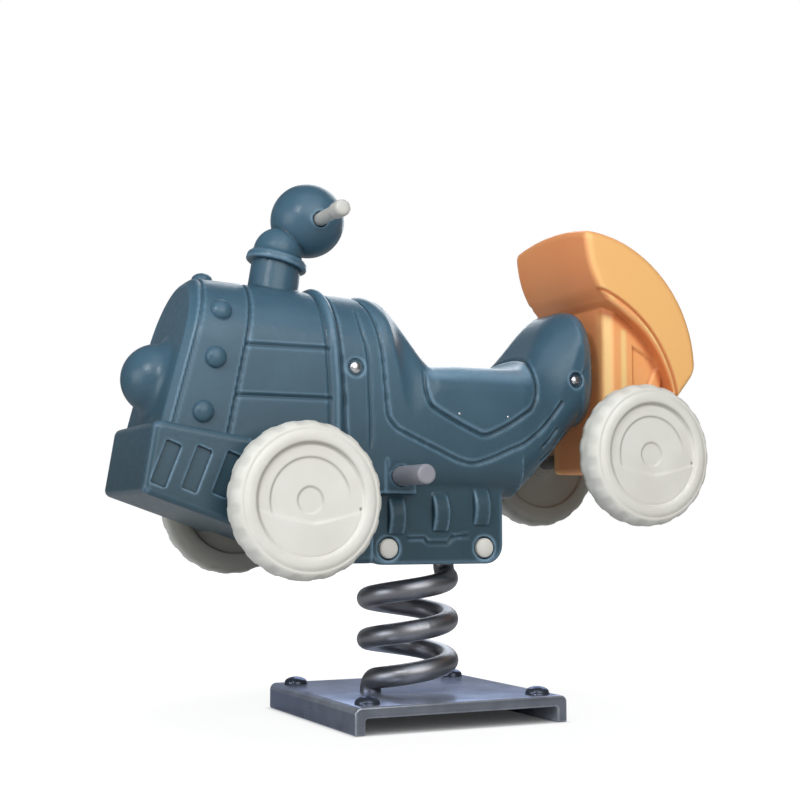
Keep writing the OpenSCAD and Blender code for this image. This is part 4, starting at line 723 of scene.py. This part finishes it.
def saddleForm(x, y, z):
    s = saddle
    side = np.abs(y)
    frontUp, rearUp = seatRise(x)
    edge = s["seatEdge"] + (s["frontEdge"] - s["seatEdge"]) * ease(frontUp) ** s["edgeRate"][0]
    edge = edge + (s["rearEdge"] - s["seatEdge"]) * ease(rearUp) ** s["edgeRate"][1]
    half = s["half"] + (s["cantleHalf"] - s["half"]) * np.clip(rearUp, 0, 1)
    slope = (seatLine(x + 0.5) - seatLine(x - 0.5))
    top = (z - seatLine(x)) / np.sqrt(1 + slope ** 2)
    belly = np.where(x < s["bellyRear"], (s["bellyZ"] + s["bellyRear"] - x - z) * 0.7071, s["bellyZ"] - z)
    # the tail closes on an ellipse behind the cantle
    back = np.minimum(x - s["cantle"][0], 0) / s["tailLength"]
    cantleBelly = s["bellyZ"] + s["bellyRear"] - s["cantle"][0]
    up = (z - s["tailZ"]) / np.where(z > s["tailZ"], s["cantle"][1] - s["tailZ"], s["tailZ"] - cantleBelly)
    reach = np.hypot(back, up)
    steep = np.hypot(back / s["tailLength"], up / 100.0)
    tail = (reach - 1) * reach / np.maximum(steep, 1e-3)
    behind = x < s["cantle"][0]
    top = np.where(behind, tail, top)
    belly = np.where(behind, tail, belly)
    pinch = s["tailPinch"][0] + s["tailPinch"][1] * np.sqrt(np.maximum(0, 1 - back * back))
    half = half * np.where(behind, pinch, 1)
    flank = side - half
    edge = edge + (s["tailEdge"] - edge) * step(-252 - x, 56)
    lowEdge = s["bellyEdge"] + (s["tailEdge"] - s["bellyEdge"]) * step(-150 - x, 60)
    form = roundMax(flank, top, edge)
    form = np.maximum(form, roundMax(flank, belly, lowEdge))
    # ridge behind the parting, seat pad, skirt line and louvres
    front = profile(z, boiler["parting"])
    ridgeBack, ridgeWidth, ridgeRise = s["ridge"]
    ridge = ridgeRise * np.maximum(0, 1 - ((x - front + ridgeBack) / ridgeWidth) ** 2)
    form = form - ridge * past(z, s["ridgeFrom"])
    gap, inside = padGap(x, side, z)
    relief = 1 - step(x + 20, 60) * step(98 - side, 14)  # dies out over the front of the seat
    form = form - s["padRise"] * step(gap * inside - 3.0, 8.0) * relief
    form = form + groove(gap, *s["padGroove"]) * relief
    form = form + partingGroove(x, side, z)
    for line in s["louvres"]:
        slit = groove(lineDistance(x, z, np.array(line, float)), *s["louvreGroove"])
        form = form + slit * past(side, s["louvreFrom"])
    flush = flushZone(z)
    form = form + boiler["tuck"] * np.maximum(0, x - front) * flush
    form = roundMax(form, x - front - boiler["overlap"] * flush, boiler["endEdge"])
    # footrest pad
    fx, fz, fh, fy = s["footrest"]
    pad = roundBox(np.maximum(np.abs(x - fx), np.abs(z - fz)) - fh, side - fy - 1.5, 4.0)
    form = roundMin(form, pad, 5.0)
    # spring housing with its belt line, tabs, cap seats and pocket
    hl, hw, h0, h1, hr = s["housing"]
    house = roundBox(np.abs(x) - hl, np.abs(z - (h0 + h1 + 60) / 2) - (h1 + 60 - h0) / 2, hr)
    house = roundMax(house, side - hw, 5.0)
    house = np.maximum(house, z - h1)
    house = house + groove(lineDistance(x, z, np.array(s["belt"], float)), *s["beltGroove"])
    form = roundMin(form, house, 6.0)
    for tx, tz in s["tabs"]:
        arch = s["tabFace"] - 11.0 * np.minimum(((z - tz - 26) / 30.0) ** 2, 2)
        tab = roundMax(np.abs(x - tx) - s["tabHalf"], (side - arch) * 0.9, 3.0)
        tab = roundMax(tab, np.maximum(tz - z, z - s["tabTop"]), 3.0)
        form = roundMin(form, tab, 2.0)
    form = roundMax(form, sunkHole(np.abs(x), z, side, *s["caps"]), 1.8)
    form = roundMax(form, sunkHole(x, z, side, fx, fz, s["sleeve"], fy), 1.2)
    form = roundMax(form, sunkHole(x, z, side, *s["screw"]), 1.8)
    px, py, pz = s["pocket"]
    pocket = np.maximum(np.maximum(np.abs(x) - px, side - py), z - pz)
    return roundMax(form, -pocket, 1.5)


def saddleMarks(p, normals):
    x, y, z = p.T
    gap, inside = padGap(x, np.abs(y), z)
    wearAndSheen = step(normals[:, 2] - 0.5, 0.5) * step(inside * gap - 5, 8)  # painted sheen on the upward faces of the seat pad
    return {"edge": 0.85 * wearAndSheen}


saddleSkin = fieldPiece("saddleSkin", saddleForm, saddle, shellBlue, saddleMarks)
fit(saddleSkin, "rider", "shell_plastic", "saddle_shell")

# tender post and hood
tender = {
    "from": (-472, 0, 366), "to": (-250, 116, 782), "pitch": 2.2,
    "outer": (-249.4, 541.4, 211.0), "inner": (-236.1, 461.5, 185.7), "half": 113.5, "crown": (13.0, 4.0),
    "edge": 12.0, "underEdge": 7.0,
    "front": [(-345, 600), (-298, 640), (-288.5, 650), (-279, 660), (-272, 670), (-263, 688), (-257, 706),
              (-253, 725), (-251, 745), (-250, 780)],
    "frontEdge": (6.0, 4.0), "end": (-441.0, 514.0, -0.77, -0.64), "endEdge": 9.0,
    "lip": (-211.8, 458.0, 214.1), "lipGroove": (3.8, 3.2),
    "post": (-303.0, -412.0, 87.0, 373.0), "postEdge": (12.0, 3.0), "raised": (-330.5, 15.0, 11.0, 6.0),
    "panel": [(-352, 579), (-377, 567), (-395, 553), (-401, 543), (-388, 516), (-372, 486), (-352, 466)],
    "panelDepth": 4.5,
}
tender["frontLine"] = curve(tender["front"], 6)


def ringGap(x, z, c):
    return np.hypot(x - c[0], z - c[1]) - c[2]


def tenderForm(x, y, z):
    s = tender
    side = np.abs(y)
    ring = ringGap(x, z, s["outer"])
    crownFront, crownRear = s["crown"]
    crown = crownRear + (crownFront - crownRear) * step(x + 360, 120)
    out = ring - crown * (1 - np.minimum(side / s["half"], 1) ** 2)
    under = -ringGap(x, z, s["inner"])
    flank = side - s["half"] + groove(ringGap(x, z, s["lip"]), *s["lipGroove"])
    hood = roundMax(out, flank, s["edge"])
    hood = roundMax(hood, under, s["underEdge"])
    hood = bevelMax(hood, (x - profile(z, s["frontLine"][:, ::-1])) * 0.93, *s["frontEdge"])
    ex, ez, nx, nz = s["end"]
    hood = roundMax(hood, (x - ex) * nx + (z - ez) * nz, s["endEdge"])
    front, rear, half, floor = s["post"]
    raisedX, raisedIn, raisedRun, raisedRise = s["raised"]
    raised = np.minimum(raisedX - x, -under - raisedIn)
    relief = raisedRise * np.clip(raised / raisedRun, 0, 1)
    panel = np.array(s["panel"], float)
    gap = lineDistance(x, z, np.vstack([panel, panel[:1]]))
    gap = np.where(insideLine(x, z, panel), gap, -gap)
    wall = side - half - relief + s["panelDepth"] * step(gap - 2.0, 6.0)
    post = bevelMax(wall, x - front, *s["postEdge"])
    post = roundMax(post, rear - x, 9.0)
    post = roundMax(post, floor - z, 8.0)
    post = np.maximum(post, np.where(z > 517, ring + 18, rear - x))
    return roundMin(hood, post, 3.0)


def tenderMarks(p, normals):
    s = tender
    x, y, z = p.T
    side = np.abs(y)
    lipGap = ringGap(x, z, s["lip"])
    under = ringGap(x, z, s["inner"])
    onPost = step(-under - 6, 4) * step(side - 60, 20)
    onLip = step(-lipGap - 1.5, 3) * (1 - step(-under - 6, 4))
    # painted highlights on the post's corner and rib, painted shade in the lip groove and under the hood, and a
    # painted lit colour on faces turned to the side
    corner = np.exp(-((x - s["post"][0] + 6) / 6.0) ** 4)
    ribHighlight = np.exp(-((x - s["raised"][0] + 5.5) / 5.5) ** 4) * step(602 - z, 8)
    shade = np.exp(-((under + 4) / 7.0) ** 2) * step(side - 70, 20) * step(104 - side, 8)
    return {"edge": onPost * (0.8 * corner + 0.9 * ribHighlight),
            "shadeMask": 0.9 * np.exp(-(lipGap / 2.6) ** 2) * step(side - 100, 6) + 0.8 * shade,
            "fade": np.abs(normals[:, 1]) ** 1.5 * (1 - shade) * (1 - 0.5 * onPost) * (1 - 0.8 * onLip)}


tenderSkin = fieldPiece("tenderSkin", tenderForm, tender, tenderOrange, tenderMarks)
fit(tenderSkin, "rider", "tender_plastic", "tender_shell")

wheel = {
    "inner": 132.5, "around": 240, "lugs": 20, "lugRise": 1.4, "hub": 18.4, "arc": 58.5,
    "front": (242.0, 322.0), "rear": (-320.0, 396.0), "face": 51.0, "faceRows": 44,
    "faceReach": (1.9, 75.8), "fold": (-33.0, 17.5, 76.0, 1.25), "arcSink": 2.0, "hubSink": 1.8, "lineWidth": 1.3,
    "vent": (-74.0, -12.0, 3.2, 3.0), "middle": 28.5, "tread": 103.0, "innerShade": 0.8,
    # radius and height over the inner face, from the disc's edge over the tread and back to the hub
    "outline": [(76.6, 51.0), (77.6, 51.2), (78.2, 52.0), (78.7, 53.4), (79.3, 54.9), (80.6, 56.0), (82.6, 56.6),
                (85.5, 56.9), (88.5, 57.0), (91.5, 56.5), (94, 55.4), (95.6, 54.2), (96.6, 53.7), (97.6, 53.8),
                (98.8, 54.0), (100.6, 53.3), (103, 51.6), (105.4, 48.8), (107.4, 45), (108.9, 40.6), (109.9, 36),
                (110.4, 32), (110.5, 28.5), (110.4, 25), (109.9, 21), (108.9, 16.4), (107.4, 12), (105.4, 8.2),
                (103, 5.4), (100, 3), (96.5, 1.2), (92, 0.3), (86, 0), (80, 0), (78.6, 0.3), (77.6, 1.4), (77, 3),
                (76.2, 4.4), (74.6, 5), (60, 5), (40, 5), (27, 5), (26, 4.4), (25.4, 3), (25, 1), (24, 0), (15, 0)],
}


def wheelShape(side):
    s = wheel
    n = s["around"]
    disc = [(r, s["face"]) for r in np.linspace(*s["faceReach"], s["faceRows"])]
    rows = np.array(disc + s["outline"], float)
    angle = np.arange(n) * 2 * math.pi / n
    r = np.repeat(rows[:, :1], n, 1)
    h = np.repeat(rows[:, 1:], n, 1)
    a = np.repeat(angle[None], len(rows), 0)
    u, v = r * np.cos(a), r * np.sin(a)  # u to the nose, v up
    face = (np.arange(len(rows)) < s["faceRows"])[:, None] & np.ones((1, n), bool)
    foldLow, foldRise, foldReach, foldPower = s["fold"]
    fold = foldLow + foldRise * (np.abs(u + 4) / foldReach) ** foldPower
    above = step(v - fold - 1.6, 5.0)
    fade = 1 - step(14 - v, 34) * step(-u - 26, 34)
    arc = above * step(s["arc"] - r, 2.0) * fade
    sink = 1.1 * above - 0.6 + s["arcSink"] * arc + s["hubSink"] * step(s["hub"] - r, 2.0)
    sink = sink * step(77.5 - r, 3.0)
    # painted shadow lines along the arc and hub steps
    lineShade = 0.55 * np.exp(-((r - s["arc"]) / s["lineWidth"]) ** 2) * above * fade
    lineShade = lineShade + 0.5 * np.exp(-((r - s["hub"]) / s["lineWidth"]) ** 2)
    # painted shadow on the upper part of the rim's inner wall
    wall = 0.42 * step(r - 75.2, 2.4) * step(80.6 - r, 2.4) * step(0.55 * u + 0.83 * v, 90)
    ventU, ventV, ventSize, ventDepth = s["vent"]
    vent = np.exp(-((u - ventU) ** 2 + (v - ventV) ** 2) / ventSize)
    h = np.where(face, h - sink - ventDepth * vent, h)
    # shallow blocks over the shoulders of the tread
    lean = (h - s["middle"]) / s["middle"]
    onTread = step(r - s["tread"], 5.0) * ~face
    wave = np.sin(a * s["lugs"] + 0.9 * np.sign(lean))
    lug = step(wave + 0.25, 0.7) * step(np.abs(lean) - 0.16, 0.2)
    r2 = r - onTread * s["lugRise"] * (1 - lug)
    x, z = r2 * np.cos(a), r2 * np.sin(a)
    # painted shade in the vent, along the step lines, on the rim wall and between the tread blocks
    faceShade = np.clip(1.6 * vent + lineShade * step(v + 8, 30) + wall, 0, 1)
    shadeMask = np.where(face, faceShade, 0.10 * onTread * (1 - lug) + wall)
    shadeMask = np.clip(shadeMask + s["innerShade"] * step(16 - h, 22), 0, 1)  # painted shade on the inner faces
    ring = np.stack([x, side * (s["inner"] + h), z], -1).reshape(-1, 3)
    k = len(rows)
    hubHeight = h[0].mean()
    verts = np.vstack([ring, [[0, side * (s["inner"] + hubHeight), 0]], [[0, side * s["inner"], 0]]])
    marks = np.append(shadeMask.ravel(), [0, 0])
    faces = bandFaces(k, n)
    for i in range(n):
        m = (i + 1) % n
        faces += [(k * n, m, i), (k * n + 1, (k - 1) * n + i, (k - 1) * n + m)]
    if side > 0:
        faces = [f[::-1] for f in faces]
    return verts, faces, marks


def makeWheels(s):
    for end in ("front", "rear"):
        for side, word in ((1, "left"), (-1, "right")):
            verts, faces, marks = wheelShape(side)
            verts = verts + np.array([s[end][0], 0, s[end][1]])
            body = end + "_" + word
            tyre = pieceFrom(end + word.capitalize() + "Tyre", verts, faces, wheelCream, marks={"shadeMask": marks})
            fit(tyre, body, "wheel_plastic", body + "_wheel", body + "_hub_cap")


makeWheels(wheel)
print("wheels made")

# one wire in two halves that meet at the middle height
spring = {"x": 9.0, "coil": 62.0, "wire": 16.0, "low": 39.0, "high": 230.0, "endIn": 24.0, "endOut": 2.0,
          "bend": 19.0, "bendSteps": 14, "halfTurns": 5, "sides": 28, "perTurn": 56, "sharp": 50}


def springPath(s):
    total = s["coil"] * s["halfTurns"] * math.pi
    bend, low, high = s["bend"], s["low"] + s["endOut"], s["high"] - s["endOut"]
    rise = s["high"] - s["low"] - 2 * s["endOut"]
    upright = math.pi / 2
    slope = math.radians(10)
    for _ in range(12):
        slope = math.atan((rise - 2 * bend * math.cos(slope)) / (total - 2 * bend * (1 - math.sin(slope))))
    run, up = bend * (1 - math.sin(slope)), bend * math.cos(slope)
    stations = [(0, s["low"] - s["endIn"], upright), (0, s["low"] - s["endIn"] / 2, upright)]
    for a in np.linspace(upright, slope, s["bendSteps"])[:-1]:
        stations.append((bend * (1 - math.sin(a)), low + bend * math.cos(a), a))
    count = int(s["perTurn"] * (total - 2 * run) / (2 * math.pi * s["coil"])) // 2 * 2
    for t in np.linspace(0, 1, count + 1):
        stations.append((run + (total - 2 * run) * t, low + up + (rise - 2 * up) * t, slope))
    for a in np.linspace(slope, upright, s["bendSteps"])[1:]:
        stations.append((total - bend * (1 - math.sin(a)), high - bend * math.cos(a), a))
    stations += [(total, s["high"] + s["endIn"] / 2, upright), (total, s["high"] + s["endIn"], upright)]
    return stations


def wireHalf(name, stations, s):
    n = s["sides"]
    verts = []
    for run, height, tip in stations:
        a = run / s["coil"]
        centre = np.array([s["x"] + s["coil"] * math.cos(a), s["coil"] * math.sin(a), height])
        out = np.array([math.cos(a), math.sin(a), 0])
        along = np.array([-math.sin(a) * math.cos(tip), math.cos(a) * math.cos(tip), math.sin(tip)])
        up = np.cross(along, out)
        for i in range(n):
            b = 2 * math.pi * i / n
            verts.append(centre + s["wire"] * (out * math.cos(b) + up * math.sin(b)))
    faces = [(a, d, c, b) for a, b, c, d in bandFaces(len(stations), n)]
    faces += [tuple(range(n)), tuple(range(len(verts) - 1, len(verts) - n - 1, -1))]
    return pieceFrom(name, verts, faces, springCoat, sharp=s["sharp"])


def makeSpring(s):
    path = springPath(s)
    middle = (s["low"] + s["high"]) / 2
    cut = min(range(len(path)), key=lambda i: abs(path[i][1] - middle))
    lower = wireHalf("springLower", path[:cut + 1], s)
    upper = wireHalf("springUpper", path[cut:], s)
    for obj in (lower, upper):
        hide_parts("coil_spring")
    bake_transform(lower)
    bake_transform(upper)


makeSpring(spring)
print("spring made")

# base plate with folded sides
plate = {"half": 170.0, "height": 39.0, "thick": 16.0, "outerBend": 10.0, "innerBend": 4.0, "bendSteps": 9,
         "bevel": 3.0, "bevelSteps": 4, "endLight": 0.45, "sideShade": 0.55, "sharp": 32, "anchors": 138.0}


def makePlate(s):
    h, t, top = s["half"], s["thick"], s["height"]

    def bow(cx, cz, r, a0, a1):
        angles = np.radians(np.linspace(a0, a1, s["bendSteps"]))
        return [(cx + r * math.cos(a), cz + r * math.sin(a)) for a in angles]

    ro, ri = s["outerBend"], s["innerBend"]
    right = [(h - t, 0), (h, 0)] + bow(h - ro, top - ro, ro, 0, 90)
    inner = bow(h - t - ri, top - t - ri, ri, 90, 0)
    outline = right + [(-x, z) for x, z in reversed(right)] + [(-x, z) for x, z in reversed(inner)] + inner
    bm = bmesh.new()
    cap = bm.faces.new([bm.verts.new((x / 1000, -h / 1000, z / 1000)) for x, z in outline])
    grown = bmesh.ops.extrude_face_region(bm, geom=[cap])
    moved = [v for v in grown["geom"] if isinstance(v, bmesh.types.BMVert)]
    bmesh.ops.translate(bm, vec=(0, 2 * h / 1000, 0), verts=moved)
    bmesh.ops.recalc_face_normals(bm, faces=bm.faces)
    ends = [f for f in bm.faces if abs(abs(f.normal.y) - 1) < 1e-3]
    rims = [e for e in bm.edges if any(f in ends for f in e.link_faces)]
    feet = [e for e in bm.edges if e not in rims and max(v.co.z for v in e.verts) < 1e-6]
    bmesh.ops.bevel(bm, geom=rims + feet, offset=s["bevel"] / 1000, segments=s["bevelSteps"], profile=0.5,
                    affect="EDGES")
    bmesh.ops.recalc_face_normals(bm, faces=bm.faces)
    mesh = bpy.data.meshes.new("plateSkin")
    bm.to_mesh(mesh)
    bm.free()
    mesh.materials.append(plateCoat)
    smoothAll(mesh)
    px, py, pz = np.abs([v.co for v in mesh.vertices]).T * 1000
    # painted highlight on the bevels, painted light over the end faces, painted shade on the folded sides
    bevelHighlight = np.where(py > h - s["bevel"] - 0.1, 1.0, 0.0)
    markPoints(mesh, "edge", np.where(py > h - 0.1, s["endLight"], bevelHighlight))
    shadedSides = (px > h - 0.1) & (pz < top - ro + 0.1)
    markPoints(mesh, "shadeMask", np.where(shadedSides, s["sideShade"], 0.0))
    mesh.set_sharp_from_angle(angle=math.radians(s["sharp"]))
    fit(addObject("plateSkin", mesh), "base", "plate_steel", "base_plate")


makePlate(plate)
print("plate made")

# grips and footrest sleeves, turned shapes on their bars
grip = {"x": 177.85, "z": 741.1, "around": 48, "sharp": 50,
        "outline": [(8.2, 48), (9.4, 48), (9.8, 48.6), (9.8, 70), (9.8, 106), (10.0, 109), (10.8, 111.5),
                    (11.9, 113.5), (12.4, 116), (12.5, 119), (12.5, 133), (12.3, 136), (11.6, 138.6), (10.2, 140.6),
                    (8, 141.7), (4, 142), (0, 142)]}
footrest = {"x": 68.0, "z": 360.0, "around": 48, "sharp": 50,
            "outline": [(8.2, 100), (13.6, 100), (14.3, 100.8), (14.5, 102), (14.5, 182), (14.3, 184.2),
                        (13.6, 185.8), (12.2, 186.8), (10, 187), (5, 187), (0, 187)]}


def turnedPiece(name, s, side, mat):
    *rows, tip = s["outline"]
    n, k = s["around"], len(rows)
    verts = [(s["x"] + r * math.cos(2 * math.pi * i / n), side * y, s["z"] + r * math.sin(2 * math.pi * i / n))
             for r, y in rows for i in range(n)]
    verts += [(s["x"], side * tip[1], s["z"]), (s["x"], side * rows[0][1], s["z"])]
    faces = bandFaces(k, n)
    faces += [((k - 1) * n + i, (k - 1) * n + (i + 1) % n, k * n) for i in range(n)]
    faces += [((i + 1) % n, i, k * n + 1) for i in range(n)]
    if side > 0:
        faces = [f[::-1] for f in faces]
    return pieceFrom(name, verts, faces, mat, sharp=s["sharp"])


for side, word in ((1, "left"), (-1, "right")):
    fit(turnedPiece(word + "Grip", grip, side, gripGrey), "rider", "grip_plastic", word + "_grip")
    fit(turnedPiece(word + "Footrest", footrest, side, footrestMauve), "rider", "footrest_plastic",
        word + "_footrest_sleeve")
print("grips and footrests made")

# rivets, anchor nuts, bolt caps and screw heads, all by one node tree
domeMesh = {"around": 41, "rows": 22, "join": 0.000002}


def domeTree(s):
    tree = bpy.data.node_groups.new("domedHead", "GeometryNodeTree")
    face = tree.interface
    face.new_socket("Geometry", in_out="OUTPUT", socket_type="NodeSocketGeometry")
    face.new_socket("Geometry", in_out="INPUT", socket_type="NodeSocketGeometry")
    for name in ("Radius", "Height", "Brim", "Fillet"):
        face.new_socket(name, in_out="INPUT", socket_type="NodeSocketFloat")
    face.new_socket("Finish", in_out="INPUT", socket_type="NodeSocketMaterial")
    given = addNode(tree, "NodeGroupInput")
    result = addNode(tree, "NodeGroupOutput")

    def calc(op, a, b=None):
        node = addNode(tree, "ShaderNodeMath", operation=op)
        for i, value in enumerate((a, b)):
            if isinstance(value, (int, float)):
                node.inputs[i].default_value = value
            elif value is not None:
                tree.links.new(value, node.inputs[i])
        return node.outputs[0]

    grid = addNode(tree, "GeometryNodeMeshGrid", {"Size X": 1.0, "Size Y": 1.0, "Vertices X": s["around"],
                                                  "Vertices Y": s["rows"]})
    place = addNode(tree, "GeometryNodeInputPosition")
    split = addNode(tree, "ShaderNodeSeparateXYZ")
    linkAll(tree, (place, 0, split, 0))
    turn = calc("MULTIPLY", split.outputs["X"], 2 * math.pi)
    t = calc("ADD", split.outputs["Y"], 0.5)  # 0 at the foot, 1 at the crown
    # the first quarter of t climbs the brim and its fillet, the rest is the dome
    climb = calc("MULTIPLY", t, 4.0)
    rim = calc("MINIMUM", climb, 1.0)
    cap = calc("MULTIPLY", calc("MAXIMUM", calc("SUBTRACT", climb, 1.0), 0.0), 1 / 3.0)
    bow = calc("MULTIPLY", cap, math.pi / 2)
    flare = calc("MULTIPLY", given.outputs["Fillet"], calc("POWER", calc("SUBTRACT", 1.0, rim), 2.0))
    radius = calc("ADD", calc("MULTIPLY", given.outputs["Radius"], calc("COSINE", bow)), flare)
    domeHeight = calc("SUBTRACT", given.outputs["Height"], given.outputs["Brim"])
    lift = calc("ADD", calc("MULTIPLY", given.outputs["Brim"], rim),
                calc("MULTIPLY", domeHeight, calc("SINE", bow)))
    join = addNode(tree, "ShaderNodeCombineXYZ")
    tree.links.new(calc("MULTIPLY", radius, calc("COSINE", turn)), join.inputs["X"])
    tree.links.new(calc("MULTIPLY", radius, calc("SINE", turn)), join.inputs["Y"])
    tree.links.new(lift, join.inputs["Z"])
    shape = addNode(tree, "GeometryNodeSetPosition")
    merge = addNode(tree, "GeometryNodeMergeByDistance", {"Distance": s["join"]})
    smooth = addNode(tree, "GeometryNodeSetShadeSmooth")
    facing = addNode(tree, "GeometryNodeInputNamedAttribute", {"Name": "facing"}, data_type="FLOAT_VECTOR")
    size = addNode(tree, "GeometryNodeInputNamedAttribute", {"Name": "size"}, data_type="FLOAT")
    align = addNode(tree, "FunctionNodeAlignRotationToVector", axis="Z")
    points = addNode(tree, "GeometryNodeMeshToPoints")
    copies = addNode(tree, "GeometryNodeInstanceOnPoints")
    solid = addNode(tree, "GeometryNodeRealizeInstances")
    coat = addNode(tree, "GeometryNodeSetMaterial")
    linkAll(tree, (grid, "Mesh", shape, "Geometry"), (join, 0, shape, "Position"), (shape, 0, merge, "Geometry"),
            (merge, 0, smooth, 0))
    linkAll(tree, (given, "Geometry", points, "Mesh"), (points, 0, copies, "Points"),
            (smooth, 0, copies, "Instance"), (facing, "Attribute", align, "Vector"),
            (align, 0, copies, "Rotation"), (size, "Attribute", copies, "Scale"))
    linkAll(tree, (copies, 0, solid, 0), (solid, 0, coat, "Geometry"), (given, "Finish", coat, "Material"),
            (coat, 0, result, 0))
    return tree


domes = domeTree(domeMesh)


def headsOn(name, places, s, mat, body, slotName, *nodes):
    mesh = bpy.data.meshes.new(name + "Spots")
    mesh.from_pydata([tuple(v / 1000 for v in p[0]) for p in places], [], [])
    facing = mesh.attributes.new("facing", "FLOAT_VECTOR", "POINT")
    facing.data.foreach_set("vector", np.array([p[1] for p in places], np.float32).ravel())
    markPoints(mesh, "size", [p[2] if len(p) > 2 else 1.0 for p in places])
    spots = addObject(name + "Spots", mesh)
    mod = spots.modifiers.new("heads", "NODES")
    mod.node_group = domes
    sockets = {i.name: i.identifier for i in domes.interface.items_tree if i.in_out == "INPUT"}
    for key, value in s.items():
        mod[sockets[key]] = value / 1000
    mod[sockets["Finish"]] = mat
    graph = bpy.context.evaluated_depsgraph_get()
    made = bpy.data.meshes.new_from_object(spots.evaluated_get(graph), depsgraph=graph)
    bpy.data.objects.remove(spots)
    made.name = name
    fit(addObject(name, made), body, slotName, *nodes)


def bothSides(x, y, z, *size):
    return [((x, sy * y, z), (0, sy, 0), *size) for sy in (-1, 1)]


rivets = {"sides": ((344.0, 588.0), (354.0, 520.0), (371.0, 444.0)), "crownX": 343.0, "inset": 1.5}


def rivetSpots(s):
    spots = []
    half, r = boiler["half"], boiler["topRadius"]
    for x, z in s["sides"]:
        lean, y = 0.0, half
        centre = boilerTop(x) - r
        if z > centre:  # on the round of the barrel
            lean = math.asin((z - centre) / r)
            y = half - r + r * math.cos(lean)
        for side in (1, -1):
            spots.append(((x, side * (y - s["inset"] * math.cos(lean)), z - s["inset"] * math.sin(lean)),
                          (0, side * math.cos(lean), math.sin(lean))))
    spots.append(((s["crownX"], 0.0, boilerTop(s["crownX"]) - s["inset"]), (0, 0, 1)))
    return spots


rivetHead = {"Radius": 15.2, "Height": 13.0, "Brim": 3.0, "Fillet": 2.2}
headsOn("noseRivets", rivetSpots(rivets), rivetHead, shellBlue, "rider", "shell_plastic")

nutHead = {"Radius": 17.6, "Height": 11.4, "Brim": 2.8, "Fillet": 0.9}
corners = [((sx * plate["anchors"], sy * plate["anchors"], plate["height"]), (0, 0, 1))
           for sx in (-1, 1) for sy in (-1, 1)]
headsOn("anchorDomes", corners, nutHead, plateCoat, "base", "plate_steel", "anchor_nuts")

capHead = {"Radius": 14.4, "Height": 10.6, "Brim": 5.5, "Fillet": 0.1}
capSpots = bothSides(-80.0, 79.2, 254.0) + bothSides(80.0, 79.2, 254.0)
headsOn("boltCaps", capSpots, capHead, wheelCream, "rider", "wheel_plastic", "bolt_caps")

screwHead = {"Radius": 9.2, "Height": 5.6, "Brim": 0.9, "Fillet": 0.3}
headsOn("boilerScrewHeads", bothSides(142.0, 101.6, 516.0), screwHead, chromeSteel, "rider", "chrome",
        "boiler_screws")
headsOn("tenderScrewHeads", bothSides(-240.0, 90.6, 515.0, 0.85), screwHead, chromeSteel, "rider", "chrome",
        "tender_screws")

pipHead = {"Radius": 2.2, "Height": 1.6, "Brim": 0.3, "Fillet": 0.2}
pipSpots = bothSides(-26.0, 107.4, 454.0) + bothSides(-109.0, 107.4, 452.0)
headsOn("padPips", pipSpots, pipHead, chromeSteel, "rider", "chrome")
print("domed heads made")

# the steel that keeps its CAD shape
slotFinish = {"shell_plastic": shellBlue, "tender_plastic": tenderOrange, "wheel_plastic": wheelCream,
              "grip_plastic": gripGrey, "footrest_plastic": footrestMauve, "spring_steel": springCoat,
              "plate_steel": plateCoat, "bright_steel": zincSteel, "chrome": chromeSteel, "brass": turnedBrass}
for part in frame["record"]["subparts"]:
    data = cadNodes[part["node"]].data
    data.materials.clear()
    data.materials.append(slotFinish[part["material_slot"]])
print("CAD finishes set")

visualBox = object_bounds()
for label, box in (("CAD", cadBox), ("visual", visualBox)):
    print(label, "box", [round(v, 4) for corner in box for v in corner])
